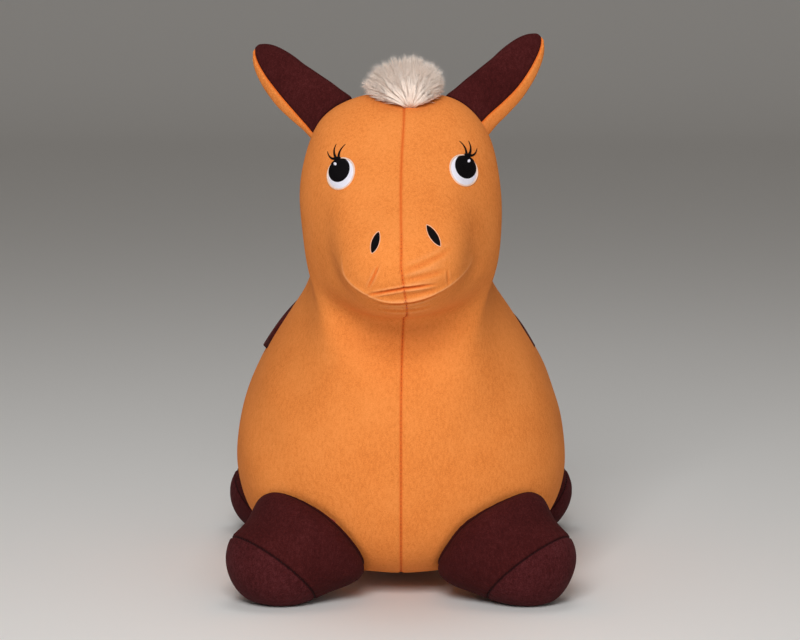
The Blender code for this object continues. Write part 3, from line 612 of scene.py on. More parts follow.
# The fold along which the muzzle's face turns under, from cheek round to cheek
MUZZLE_RIM = (
    (-0.0495, 0.3060),
    (-0.0478, 0.2927),
    (-0.0416, 0.2836),
    (-0.0323, 0.2768),
    (-0.0222, 0.2721),
    (-0.0130, 0.2692),
    (-0.0020, 0.2686),
    (0.0106, 0.2700),
    (0.0252, 0.2741),
    (0.0380, 0.2805),
    (0.0473, 0.2867),
    (0.0548, 0.2927),
    (0.0585, 0.3040),
)
RIM_HEIGHT = 0.0014
RIM_REACH = 0.0022
RIM_LINE = 0.0006
RIM_HOLLOW = 0.0014
HOLLOW_PLACE = 0.0075
HOLLOW_REACH = 0.0055
RIM_CENTRE = (0.0030, 0.3200)
RIM_STEPS = 240
RIM_DEGREE = 8
# Only this half width, and between these heights, is near enough to the rim
RIM_WINDOW = (0.085, 0.235, 0.340)
# A crease's swells: their share of its depth, and their places over its width
SWELL_SHARE = 0.45
SWELL_PLACE = 1.9
CREASE_SHADE_DEPTH = 0.0036
CREASE_SHADE_LIMITS = (0.8, 0.4)
RIM_LIT_SHARE = 0.45
CREASE_FRONT = (-0.205, -0.232)
RIM_FRONT = (-0.175, -0.205)
ORANGE = (0.80, 0.248, 0.052, 1)
ORANGE_LIGHT = (0.88, 0.300, 0.074, 1)
ORANGE_DEEP = (0.68, 0.185, 0.033, 1)
# Painted shade colour for the seam groove and the muzzle's creases; the brown thread also takes it
# as its darker tone
ORANGE_SHADE_AND_THREAD_TONE = (0.66, 0.080, 0.003, 1)
# Painted highlight colour for the muzzle's rim and the swells beside its creases
ORANGE_PAINTED_HIGHLIGHT = (0.96, 0.50, 0.24, 1)
ORANGE_SHEEN = 0.08
STITCH_BROWN = (0.15, 0.024, 0.008, 1)
COVER_COLUMNS = 216
COVER_ROWS = 430
DENSE_ROWS = (1.0, 1.3, 15.6, 16.6)
LINING_COLUMNS = 8


def step(value, low, high):
    """A smooth step from 0 at low to 1 at high, either way round."""
    share = np.clip((value - low) / (high - low), 0, 1)
    return share * share * (3 - 2 * share)


def crease(run, height, depth, width, path):
    """A valley along a parabola through three points, with a soft swell on both sides,
    that fades out at its two ends."""
    path = np.array(path)
    middle, half = (path[0, 0] + path[-1, 0]) / 2, (path[-1, 0] - path[0, 0]) / 2
    off = (height - np.polyval(np.polyfit(path[:, 0], path[:, 1], 2), run)) / width
    fade = np.exp(-(((run - middle) / half) ** 4))
    return depth * fade * (SWELL_SHARE * bell(np.abs(off) - SWELL_PLACE, 1) - bell(off, 1))


def muzzle_rim(x, z):
    """The folded rim of the muzzle: a bell curve of the distance from a smooth line seen
    from the front, and a wider hollow on the side that lies below and outside the line.
    Its crest gets a painted highlight: a narrower bell of the same distance."""
    line = np.array(MUZZLE_RIM)
    share = np.linspace(0, 1, len(line))
    fine = np.linspace(0, 1, RIM_STEPS)
    curves = [np.polyfit(share, line[:, axis], RIM_DEGREE) for axis in (0, 1)]
    line = np.stack([np.polyval(curve, fine) for curve in curves], -1)
    height, lit = np.zeros((2, *x.shape))
    near = (np.abs(x) < RIM_WINDOW[0]) & (z > RIM_WINDOW[1]) & (z < RIM_WINDOW[2])
    seen = np.stack([x[near], z[near]], -1)
    gap = np.hypot(seen[:, None, 0] - line[:, 0], seen[:, None, 1] - line[:, 1])
    closest = gap.argmin(axis=1)
    inside = np.hypot(seen[:, 0] - RIM_CENTRE[0], seen[:, 1] - RIM_CENTRE[1])
    inside = inside < np.hypot(*(line[closest] - RIM_CENTRE).T)
    away = gap.min(axis=1) * np.where(inside, 1, -1)
    fade = 1 - (2 * np.abs(closest / (RIM_STEPS - 1) - 0.5)) ** 6
    hollow = RIM_HOLLOW * bell(away + HOLLOW_PLACE, HOLLOW_REACH)
    height[near] = (RIM_HEIGHT * bell(away, RIM_REACH) - hollow) * fade
    lit[near] = bell(away, RIM_LINE) * fade
    return height, lit


def folds(points):
    """The creases of the slack muzzle, all added up."""
    x, y, z = points[..., 0], points[..., 1], points[..., 2]
    level = sum(crease(x, z, *one) for one in LEVEL_CREASES)
    return step(y, *CREASE_FRONT) * (level + sum(crease(z, x, *one) for one in UPRIGHT_CREASES))


def read_line(where, marks, line):
    """Points at given marks on a line whose own points lie at rising marks."""
    return np.stack([np.interp(where, marks, line[:, axis]) for axis in range(3)], -1)


def leg_gap(points, end, side):
    """Distance outside a leg's surface: the distance from the sagging middle line at the
    same reach, less the leg's own radius there."""
    seam, out = leg_frame(end, side)[:2]
    form = LEGS[end, side]
    reach = (points - seam) @ out
    v = np.linspace(1, len(form) - 2, 60)
    middle = spine(form, v)
    girth = np.linalg.norm(patch(form, 0 * v, v)[0] - middle, axis=-1)
    marks = (middle - seam) @ out
    away = np.linalg.norm(points - read_line(reach, marks, middle), axis=-1)
    return away - np.interp(reach, marks, girth)


def relief(points, seam_gap):
    """How far the sewn cover stands out from the taut form: seam groove, muzzle creases,
    pull at the boots, the recess of the zip, the valve's hole, and slow waves."""
    x, y, z = points[..., 0], points[..., 1], points[..., 2]
    height = -SEAM_DEPTH * bell(seam_gap, SEAM_WIDTH)
    height += folds(points) + step(y, *RIM_FRONT) * muzzle_rim(x, z)[0]
    for end, side in LEGS:
        gap = leg_gap(points, end, side)
        height -= BOOT_GROOVE_DEPTH * bell(np.maximum(gap, 0), BOOT_GROOVE_WIDTH)
        height -= BOOT_GROOVE_DEPTH * step(gap, 0, -BOOT_GROOVE_WIDTH)
    under = step(z, 2 * BELLY_HEIGHT, BELLY_HEIGHT + ZIP_END_SLOPE)
    from_zip = np.abs(y - along(ZIP_MIDDLE_SHARE))
    under = under * step(from_zip, ZIP_HALF_LENGTH + ZIP_END_SLOPE, ZIP_HALF_LENGTH)
    height -= ZIP_DEPTH * under * step(np.abs(x), ZIP_HALF_WIDTH + EDGE_SLOPE, ZIP_HALF_WIDTH)
    bore = np.where(y > 0, np.hypot(x, z - VALVE[2]), 1)
    height -= VALVE_HOLE_DEPTH * step(bore, VALVE_HOLE_RADIUS, VALVE_HOLE_RADIUS - EDGE_SLOPE)
    waves = np.sin(61 * x + 17 * z + 1) * np.sin(47 * z - 23 * y)
    waves = waves + 0.6 * np.sin(103 * x - 31 * y) * np.sin(89 * z + 2)
    return height + SOFT_WAVE * waves * step(np.abs(x), *WAVES_BEGIN)


def seam_turn(v):
    """How far round the body the top seam lies from the middle line."""
    return SEAM_TURN * step(v, *SEAM_BEND)


def seam_distance(u, v, across):
    """Distance over the cover to the nearer one of the top seam and the seam below."""
    top = np.abs((u - seam_turn(v) + HALF_ROUND) % BODY_POINTS - HALF_ROUND)
    below = np.abs(u % BODY_POINTS - HALF_ROUND)
    return np.linalg.norm(across, axis=-1) * np.minimum(top, below)


def skin(u, v, lift=0.0):
    """Points on the dressed cover at places u and v, lifted off it, with their normals."""
    points, across, _ = patch(BODY, u, v)
    seam_gap = seam_distance(np.asarray(u), v, across)
    normal = outward(BODY, u, v)
    height = relief(points, seam_gap) + lift
    return points + normal * height[..., None], normal


def spread(count, low, high, centres, strength, width):
    """Places from low to high, closer together near the given ones: equal steps of the
    summed density of one plus bell curves."""
    fine = np.linspace(low, high, 4000)
    density = 1 + strength * sum(bell(fine - place, width) for place in centres)
    total = np.cumsum(density)
    return np.interp(np.linspace(total[0], total[-1], count), total, fine)


def reckon(material, operation, *values):
    """The value of a Math node."""
    inputs = dict(enumerate(values))
    return add(material, "ShaderNodeMath", inputs, operation=operation).outputs[0]


def pile(name, light, plain, deep, seam, pale, sheen):
    """Short brushed pile: cloudy colour, fine speckle and short marks, a soft sheen, a
    painted shade where the seam value is high and a painted highlight where the pale value is."""
    material, shader, place = new_material(name)
    cloud = noise(material, place, 22, 5, Roughness=0.6)
    brushing = {"Vector": place, "Scale": (1, 1, 0.55), "Rotation": (0, 0.25, 0)}
    brushed = add(material, "ShaderNodeMapping", brushing).outputs["Vector"]
    marks = noise(material, brushed, 420, 4)
    speckle = noise(material, place, 1150, 3)
    tone = reckon(material, "MULTIPLY", cloud, 0.26)
    tone = reckon(material, "MULTIPLY_ADD", marks, 0.30, tone)
    tone = reckon(material, "MULTIPLY_ADD", speckle, 0.44, tone)
    colour = ramp(material, tone, (0.36, deep), (0.66, light), (0.50, plain))
    for key, other in (("seam", seam), ("pale", pale)):
        share = add(material, "ShaderNodeAttribute", attribute_name=key).outputs["Fac"]
        mixed = {0: share, 6: colour, 7: other}
        colour = add(material, "ShaderNodeMix", mixed, data_type="RGBA").outputs[2]
    inputs = {
        "Roughness": 0.95,
        "Specular IOR Level": 0.12,
        "Sheen Weight": sheen,
        "Sheen Roughness": 0.45,
        "Sheen Tint": light,
    }
    height = reckon(material, "ADD", marks, speckle)
    return finished(material, shader, colour, inputs, height, 0.5, 0.0005)


def thread(name, colour, worn):
    """Twisted sewing thread: fine slanting ridges and a little change of tone."""
    material, shader, place = new_material(name)
    tones = ramp(material, noise(material, place, 300, 3), (0, worn), (1, colour))
    twisted = {"Vector": place, "Scale": 900, "Distortion": 2.0}
    twist = add(material, "ShaderNodeTexWave", twisted, bands_direction="DIAGONAL")
    inputs = {"Roughness": 0.55, "Specular IOR Level": 0.15}
    return finished(material, shader, tones, inputs, twist.outputs["Fac"], 0.5, 0.0001)


def stitches(centres, runs, ups, length, radius):
    """Short closed spindles: six-sided rings along each run, widest in the middle."""
    share = np.array((-1, -0.8, 0, 0.8, 1))[:, None, None]
    girth = np.array((0, 0.75, 1, 0.75, 0))[:, None, None]
    sides = unit(np.cross(runs, ups))
    spoke = spokes(STITCH_SIDES, ups[:, None, None], sides[:, None, None])
    half_runs = runs[:, None, None] * np.reshape(length, (-1, 1, 1, 1)) / 2
    line = centres[:, None, None] + share * half_runs
    points = line + girth * spoke * radius
    starts = np.arange(len(points)) * share.size * STITCH_SIDES
    faces = closed_rows(points[0])[1] + starts[:, None, None]
    return points.reshape(-1, 3), faces.reshape(-1, 4)


ORANGE_PILE = pile(
    "orange fleece", ORANGE_LIGHT, ORANGE, ORANGE_DEEP, ORANGE_SHADE_AND_THREAD_TONE, ORANGE_PAINTED_HIGHLIGHT, ORANGE_SHEEN
)
cover_v = spread(COVER_ROWS, 1, len(BODY) - 2, DENSE_ROWS, 2.2, 0.6)
for side, first in (("left", 0), ("right", HALF_ROUND)):
    last = first + HALF_ROUND
    outer_u = spread(COVER_COLUMNS, first, last, (first, last), 2.0, 0.35)
    columns = np.concatenate([outer_u, np.linspace(last, first, LINING_COLUMNS)])
    half_u, half_v = np.meshgrid(columns, cover_v)
    half_u = half_u + seam_turn(half_v) * np.abs(1 - half_u / HALF_ROUND)
    thickness = np.repeat((0, FLEECE_THICKNESS), (COVER_COLUMNS, LINING_COLUMNS))
    loop = skin(half_u, half_v, -thickness)[0]
    gap = seam_distance(half_u, half_v, patch(BODY, half_u, half_v)[1])
    # The seam value is painted shade along the seams and in the muzzle's creases; the pale value
    # is a painted highlight on the muzzle's rim and on the swells beside the creases
    fold = folds(loop) / CREASE_SHADE_DEPTH
    shade = np.clip(-fold, 0, CREASE_SHADE_LIMITS[0])
    shade = np.maximum(SEAM_SHADE_SHARE * bell(gap, SEAM_SHADE_WIDTH), shade)
    lit = step(loop[..., 1], *RIM_FRONT) * muzzle_rim(loop[..., 0], loop[..., 2])[1]
    lit = np.maximum(RIM_LIT_SHARE * lit, np.clip(fold, 0, CREASE_SHADE_LIMITS[1]))
    sew(
        f"fleece_cover_{side}", [closed_rows(loop)], ORANGE_PILE, "orange_fleece",
        "horse", f"cover_{side}", 1.0, seam=shade, pale=lit,
    )

# Seam thread of the cover
# Brown sewing thread that shows as short, uneven stitches at the bottom of the groove.
# Rows of the cage where the thread starts, and how many it stops short of the last one
THREAD_SPAN = (1.35, 2.02)
ZIP_CEILING = 0.025


def run_length(line):
    """Distance travelled along a line of points."""
    return np.concatenate([[0], np.cumsum(np.linalg.norm(np.diff(line, axis=0), axis=1))])


dice = np.random.default_rng(11)
stitch_forms = []
for seam_u in (0.0, float(HALF_ROUND)):
    line_v = np.linspace(THREAD_SPAN[0], len(BODY) - THREAD_SPAN[1], 3000)
    line_u = seam_u + seam_turn(line_v) * (seam_u == 0)
    travelled = run_length(skin(line_u, line_v)[0])
    marks = np.arange(STITCH_PITCH, travelled[-1], STITCH_PITCH)
    marks = marks + dice.normal(0, STITCH_UNEVENNESS, len(marks)) * STITCH_PITCH
    stitch_v = np.interp(marks, travelled, line_v)
    stitch_u = np.interp(stitch_v, line_v, line_u)
    centres, normals = skin(stitch_u, stitch_v, lift=0.0001)
    runs = unit(skin(stitch_u, stitch_v + 0.01)[0] - skin(stitch_u, stitch_v - 0.01)[0])
    from_zip = np.abs(centres[:, 1] - along(ZIP_MIDDLE_SHARE))
    in_zip = (centres[:, 2] < ZIP_CEILING) & (from_zip < ZIP_HALF_LENGTH + 2 * ZIP_END_SLOPE)
    kept = ~in_zip & ((seam_u > 0) | (stitch_v > STITCHES_SHOW))
    lengths = STITCH_LENGTH * dice.uniform(*STITCH_SHARES, kept.sum())
    stitch_forms.append(stitches(centres[kept], runs[kept], normals[kept], lengths, STITCH_RADIUS))
BROWN_THREAD = thread("brown thread", STITCH_BROWN, ORANGE_SHADE_AND_THREAD_TONE)
sew("cover_seam_thread", stitch_forms, BROWN_THREAD, "orange_fleece", "horse")

# Boots and soles
# Each foot is a sleeve of short-pile maroon velour, sewn to the cover round its top and
# closed by a sole panel. Tight stitching draws the sole seam in and puckers the velour.
SOLE_SEAM_DEPTH = 0.0011
SOLE_SEAM_WIDTH = 0.0014
SOLE_SHADE_WIDTH = 0.0010
SOLE_STITCHES = 74
SOLE_STITCH_LENGTH = 0.0026
SOLE_STITCH_RADIUS = 0.00024
SOLE_STITCH_SLANT = 0.4
SOLE_STITCH_SHARES = (0.7, 1.2)
# The sole seam leans from square across the leg: upwards, and towards the horse's end
SOLE_LEAN = (-0.033, 0.089)
# The front boots' shafts are fuller on their upper outer side, where they meet the body
SHAFT_SWELL = {"front": 0.0100, "rear": 0.0}
SHAFT_SIDE = (0.67, 0.15, 0.72)
SHAFT_REACH = (-0.004, -0.048)
PUCKERS = 34
PUCKER_HEIGHT = 0.0004
PUCKER_REACH = 0.0080
TOP_SEAM_DEPTH = 0.0012
TOP_SEAM_WIDTH = 0.0022
# Painted shade along the boot seams: its width at the top seam, and how dark it is at both
SEAM_SHADE = 0.0018
SEAM_DARKNESS = 0.85
FOOT_COLUMNS = 160
BOOT_ROWS = 110
SOLE_ROWS = 64
FOOT_WAVE = 0.0007
MAROON = (0.052, 0.0066, 0.0066, 1)
MAROON_LIGHT = (0.082, 0.0150, 0.0155, 1)
MAROON_DEEP = (0.032, 0.0036, 0.0036, 1)
# Painted highlight colour for the saddle's bound edge
MAROON_PAINTED_HIGHLIGHT = (0.30, 0.085, 0.080, 1)
# The soles are the same velour painted lighter: painted light where they face the lamps
SOLE_MAROON_PAINTED_LIGHTER = (0.064, 0.0098, 0.0110, 1)
SOLE_LIGHT_PAINTED_LIGHTER = (0.100, 0.0215, 0.0245, 1)
# Painted shade colour for the seams of boots, soles, saddle and ears; the maroon thread also takes
# it as its darker tone
MAROON_SHADE_AND_THREAD_TONE = (0.010, 0.0015, 0.0020, 1)
THREAD_MAROON = (0.012, 0.0020, 0.0024, 1)
MAROON_SHEEN = 0.18
SOLE_SHEEN = 0.26
FOOT_FILL = 1.0
NET = [part.reshape(-1, 3) for part in (body_points, outward(BODY, body_u, body_v))]
NET_MARGIN = 0.012
NET_BLOCK = 1500


def height_over(points):
    """Signed height over the smooth body: the offset from the nearest point of a net on
    it, along that point's normal."""
    flat = points.reshape(-1, 3)
    low, high = flat.min(0) - NET_MARGIN, flat.max(0) + NET_MARGIN
    near = np.all((NET[0] > low) & (NET[0] < high), axis=1)
    net, normal = NET[0][near], NET[1][near]
    blocks = np.array_split(flat, max(1, len(flat) // NET_BLOCK))
    found = np.concatenate([((net**2).sum(1) - 2 * block @ net.T).argmin(1) for block in blocks])
    return ((flat - net[found]) * normal[found]).sum(1).reshape(points.shape[:-1])


def closed_by_disc(rows, last):
    """Rows with a flat end: the last (or first) row drawn in to its own middle."""
    edge = rows[-1] if last else rows[0]
    disc = edge + (edge.mean(axis=0) - edge) * np.array((0.05, 0.4, 1.0))[:, None, None]
    return np.concatenate([rows, disc] if last else [disc[::-1], rows])


def foot_relief(points, reach, turn):
    """How far a foot's velour stands out: the drawn-in sole seam with its puckers, a
    cosine round the leg that fades with distance, the seam to the cover, slow waves.
    It also gives the painted shade along the sole seam and the seam to the cover."""
    close = bell(reach, SOLE_SEAM_WIDTH)
    pucker = np.cos(PUCKERS * turn + 1.4 * np.sin(3 * turn) + 0.8 * np.sin(7 * turn))
    height = PUCKER_HEIGHT * pucker * np.exp(-np.abs(reach) / PUCKER_REACH) * (1 - close)
    height -= SOLE_SEAM_DEPTH * close
    above = height_over(points)
    height -= TOP_SEAM_DEPTH * bell(above, TOP_SEAM_WIDTH)
    x, y, z = points[..., 0], points[..., 1], points[..., 2]
    waves = np.sin(90 * x + 40 * z) * np.sin(75 * y - 60 * z)
    shade = np.maximum(bell(reach, SOLE_SHADE_WIDTH), bell(above, SEAM_SHADE))
    return height + FOOT_WAVE * waves, shade


MAROON_PILE = pile(
    "maroon velour", MAROON_LIGHT, MAROON, MAROON_DEEP, MAROON_SHADE_AND_THREAD_TONE, MAROON_PAINTED_HIGHLIGHT, MAROON_SHEEN
)
# A lighter copy of the velour for the soles, as painted light
SOLE_PILE_PAINTED_LIGHTER = pile(
    "sole velour painted lighter", SOLE_LIGHT_PAINTED_LIGHTER, SOLE_MAROON_PAINTED_LIGHTER, MAROON_DEEP, MAROON_SHADE_AND_THREAD_TONE, MAROON_PAINTED_HIGHLIGHT, SOLE_SHEEN
)
MAROON_THREAD = thread("maroon thread", THREAD_MAROON, MAROON_SHADE_AND_THREAD_TONE)
foot_stitches = []
for (end, side), form in LEGS.items():
    seam, out, across, over = leg_frame(end, side)
    outer_end = across * np.sign(across[1]) * (-1 if end == "front" else 1)
    square = unit(out + SOLE_LEAN[0] * over + SOLE_LEAN[1] * outer_end)
    swell_way = np.array(SHAFT_SIDE) * (SIDES[side], 1, 1)
    last_v = len(form) - 2
    turns = np.arange(FOOT_COLUMNS) * LEG_POINTS / FOOT_COLUMNS
    fine_u, fine_v = np.meshgrid(turns, np.linspace(1, last_v, 1500))
    whole = patch(form, fine_u, fine_v)[0]
    lowest = pressed(whole)[1]
    seam_v = fine_v[np.abs((whole - seam) @ square).argmin(axis=0), 0]
    for kind, low, high, rows, edge, finish in (
        ("boot", 1 + 0 * seam_v, seam_v, BOOT_ROWS, 1, MAROON_PILE),
        ("sole", seam_v, last_v + 0 * seam_v, SOLE_ROWS, 0, SOLE_PILE_PAINTED_LIGHTER),
    ):
        v = low + (high - low) * spread(rows, 0, 1, (edge,), 5.0, 0.10)[:, None]
        u = turns + 0 * v
        points, normal = patch(form, u, v)[0], outward(form, u, v)
        reach = (points - seam) @ square
        height, shade = foot_relief(points, reach, u * math.tau / LEG_POINTS)
        fuller = SHAFT_SWELL[end] * step(reach, *SHAFT_REACH)
        height = height + fuller * np.clip(normal @ swell_way, 0, 1) ** 3
        points = pressed(points + normal * height[..., None], lowest)[0]
        points = closed_by_disc(points, kind == "boot")
        shade = SEAM_DARKNESS * closed_by_disc(shade[..., None], kind == "boot")[..., 0]
        sew(
            f"velour_{kind}_{end}_{side}", [closed_rows(points)], finish, "maroon_fleece",
            "horse", f"{kind}_{end}_{side}", FOOT_FILL, seam=shade,
        )
    stitch_u = np.arange(0, LEG_POINTS, LEG_POINTS / SOLE_STITCHES)
    stitch_v = np.interp(stitch_u, turns, seam_v, period=LEG_POINTS)
    ups = outward(form, stitch_u, stitch_v)
    centres = patch(form, stitch_u, stitch_v)[0] - ups * (SOLE_SEAM_DEPTH - 0.0001)
    centres = pressed(centres, lowest)[0]
    slant = unit(unit(np.cross(ups, out)) + SOLE_STITCH_SLANT * out)
    lengths = dice.uniform(*SOLE_STITCH_SHARES, len(stitch_u)) * SOLE_STITCH_LENGTH
    foot_stitches.append(stitches(centres, slant, ups, lengths, SOLE_STITCH_RADIUS))
sew("foot_seam_thread", foot_stitches, MAROON_THREAD, "maroon_fleece", "horse")

# Saddle
# A soft pad of the same maroon velour with a bound edge, laid over the back and down both
# flanks, and sewn on with a row of stitches inside its edge.
SADDLE_FRONT_SHARE = 0.505
SADDLE_REAR_SHARE = 0.745
# Place along and height of the hem
SADDLE_HEM_SHARES = ((0.505, 0.449), (0.650, 0.415), (0.745, 0.480))
SADDLE_CORNER_RADIUS = 0.018
# Where on the body the search for the hem begins: round it, and along it by shares
HEM_GUESS_TURN = 2.3
HEM_GUESS = ((0.52, 0.8), (5.5, 3.9))
SADDLE_PAD = 0.0024
# The pad sits a little askew: its right side is further forward, and stands off more
SADDLE_SKEW = 0.0060
SADDLE_PUFF = 0.0019
BINDING_WIDTH = 0.0034
BINDING_HEIGHT = 0.0012
QUILT_INSET = 0.0095
QUILT_DEPTH = 0.0011
QUILT_WIDTH = 0.0012
QUILT_PITCH = 0.0046
QUILT_STITCH = (0.0032, 0.00045)
QUILT_START = 0.002
QUILT_LIFT = 0.0004
SADDLE_UNDERSIDE = 0.0012
SADDLE_FILL = 0.7
# Strength of the painted shade in the sewn lines, then of the painted highlight inside the bound
# edge, with its inset and width
SADDLE_SHADE = 0.7
SADDLE_PAINTED_HIGHLIGHT = 0.4
HIGHLIGHT_INSET = 0.0024
HIGHLIGHT_WIDTH = 0.0008
SADDLE_COLUMNS = 240
SADDLE_ROWS = 100


def seek(first, second, axes, u, v):
    """Places u, v on the body where two coordinates have given values, by Newton's rule:
    each step solves the two slopes for what is still missing."""
    u, v = u + 0.0 * first, v + 0.0 * first
    for _ in range(12):
        point, across, onward = patch(BODY, u, v)
        miss_a, miss_b = first - point[..., axes[0]], second - point[..., axes[1]]
        a, b = across[..., axes[0]], onward[..., axes[0]]
        c, d = across[..., axes[1]], onward[..., axes[1]]
        area = a * d - b * c
        area = np.where(np.abs(area) < 1e-9, 1e-9, area)
        u = u + np.clip((miss_a * d - miss_b * b) / area, -0.5, 0.5)
        v = v + np.clip((miss_b * a - miss_a * c) / area, -0.5, 0.5)
        v = np.clip(v, 1.01, len(BODY) - 2.01)
    return u, v


def saddle_places():
    """Places u, v of the pad: each row lies at one distance along the horse, and runs from
    the right hem over the back to the left hem in equal steps of u."""
    y = np.linspace(along(SADDLE_FRONT_SHARE), along(SADDLE_REAR_SHARE), SADDLE_ROWS)
    corners = np.array([(along(a), rise(h)) for a, h in SADDLE_HEM_SHARES])
    hem = np.interp(y, corners[:, 0], corners[:, 1])
    edge = np.minimum(y - y[0], y[-1] - y)
    inside = np.clip(edge / SADDLE_CORNER_RADIUS, 0, 1)
    hem = hem + SADDLE_CORNER_RADIUS * (1 - np.sqrt(1 - (1 - inside) ** 2))
    guess = np.interp(y, [along(share) for share in HEM_GUESS[0]], HEM_GUESS[1])
    hem_u, hem_v = seek(y, hem, (1, 2), HEM_GUESS_TURN, guess)
    share = np.linspace(-1, 1, SADDLE_COLUMNS)
    u = share * hem_u[:, None]
    v = hem_v[:, None] + 0 * u
    for _ in range(10):
        point, _, onward = patch(BODY, u, v)
        miss = y[:, None] + SADDLE_SKEW * share - point[..., 1]
        v = v + np.clip(miss / np.minimum(onward[..., 1], -1e-4), -0.4, 0.4)
    return u, v, y, share


saddle_u, saddle_v, saddle_y, saddle_share = saddle_places()
pad = patch(BODY, saddle_u, saddle_v)[0]
row_length = np.linalg.norm(np.diff(pad, axis=1), axis=-1).sum(axis=1) / 2
inset = np.minimum(
    np.minimum(saddle_y - saddle_y[0], saddle_y[-1] - saddle_y)[:, None],
    (1 - np.abs(saddle_share)) * row_length[:, None],
)
corner_share = np.clip(inset / BINDING_WIDTH, 0, 1)
rounded = np.sqrt(1 - (1 - corner_share) ** 2)
binding = BINDING_HEIGHT * bell(inset - BINDING_WIDTH / 2, BINDING_WIDTH / 2)
lift = SADDLE_PAD - SADDLE_PUFF * saddle_share + binding
sewn_lines = [bell(inset - line, QUILT_WIDTH) for line in (QUILT_INSET, BINDING_WIDTH)]
lift = lift - QUILT_DEPTH * sewn_lines[0] - QUILT_DEPTH * sewn_lines[1]
upper = skin(saddle_u, saddle_v, rounded * lift)[0]
lower = skin(saddle_u, saddle_v, -SADDLE_UNDERSIDE * corner_share)[0]
pad_loop = np.concatenate([upper, lower[:, ::-1]], axis=1)
# Painted shade along the sewn lines
pad_shade = np.concatenate([sewn_lines[0] + sewn_lines[1], 0 * inset], axis=1)
# Painted highlight just inside the bound edge
pad_lit = np.concatenate([bell(inset - HIGHLIGHT_INSET, HIGHLIGHT_WIDTH), 0 * inset], axis=1)
sew(
    "velour_saddle", [closed_rows(pad_loop)], MAROON_PILE, "maroon_fleece",
    "horse", "saddle", SADDLE_FILL, seam=SADDLE_SHADE * pad_shade, pale=SADDLE_PAINTED_HIGHLIGHT * pad_lit,
)
quilt_runs = []
for from_edge in (saddle_y - saddle_y[0], saddle_y[-1] - saddle_y):
    row = np.abs(from_edge - QUILT_INSET).argmin()
    reach = np.abs(saddle_share) < 1 - 1.1 * QUILT_INSET / row_length[row]
    centres, ups = skin(saddle_u[row][reach], saddle_v[row][reach], lift[row][reach] + QUILT_LIFT)
    travelled = run_length(centres)
    marks = np.arange(QUILT_START, travelled[-1], QUILT_PITCH)
    centres = read_line(marks, travelled, centres)
    ups = unit(read_line(marks, travelled, ups))
    quilt_runs.append(stitches(centres, unit(np.gradient(centres, axis=0)), ups, *QUILT_STITCH))
sew("saddle_thread", quilt_runs, MAROON_THREAD, "maroon_fleece", "horse")

# Belly zip
# A moulded zip let into the belly seam, through which the bladder goes in: two woven
# tapes, two rows of teeth, end stops, and a nickel slider with its pull.
TAPE_ORANGE = (0.62, 0.155, 0.030, 1)
TAPE_DEEP = (0.40, 0.085, 0.016, 1)
TEETH_ORANGE = (0.62, 0.17, 0.04, 1)
TEETH_WORN = (0.50, 0.12, 0.03, 1)
NICKEL = (0.62, 0.61, 0.60, 1)
NICKEL_DULL = (0.40, 0.39, 0.38, 1)
SMALL_BEVEL = 0.00016
TAPE_ROWS = 160
TAPE_POINTS = 24
TAPE_RIB = 0.0028
TAPE_RIBBING = 0.25
TAPE_SQUARENESS = 0.3
TAPE_FILL = 0.2


def woven_tape():
    """Herringbone tape: two crossed fine waves for the weave."""
    material, shader, place = new_material("zip tape")
    waves = []
    for scale, way in ((520, "DIAGONAL"), (420, "Y")):
        inputs = {"Vector": place, "Scale": scale}
        wave = add(material, "ShaderNodeTexWave", inputs, bands_direction=way)
        waves.append(wave.outputs["Fac"])
    weave = reckon(material, "MULTIPLY", *waves)
    colour = ramp(material, weave, (0, TAPE_DEEP), (1, TAPE_ORANGE))
    return finished(material, shader, colour, {"Roughness": 0.85}, weave, 0.6, 0.0002)


def moulded(name, colour, worn, metallic, roughness):
    """Moulded plastic or cast metal: a dull and a clean tone, and fine scratches."""
    material, shader, place = new_material(name)
    cloud = noise(material, place, 420, 4)
    limits = {"Value": cloud, "To Min": roughness - 0.08, "To Max": roughness + 0.15}
    rough = add(material, "ShaderNodeMapRange", limits).outputs["Result"]
    material.node_tree.links.new(rough, shader.inputs["Roughness"])
    tones = ramp(material, cloud, (0, worn), (1, colour))
    return finished(material, shader, tones, {"Metallic": metallic}, cloud, 0.25, 0.00008)


def softened(node, name, material, body):
    """A merged copy of a frame node with its sharp edges bevelled."""
    mesh = frame["nodes"][node].data.copy()
    tidy = bmesh.new()
    tidy.from_mesh(mesh)
    bmesh.ops.remove_doubles(tidy, verts=tidy.verts, dist=1e-6)
    flat = math.radians(2)
    bmesh.ops.dissolve_limit(tidy, angle_limit=flat, verts=tidy.verts, edges=tidy.edges)
    tidy.to_mesh(mesh)
    tidy.free()
    mesh.name = name
    mesh.materials.clear()
    mesh.materials.append(material)
    piece = bpy.data.objects.new(name, mesh)
    bpy.context.scene.collection.objects.link(piece)
    edges = piece.modifiers.new("edges", "BEVEL")
    edges.width = SMALL_BEVEL
    edges.segments = 2
    edges.limit_method = "ANGLE"
    edges.angle_limit = SHARP_ANGLE
    dress(piece, body, node)


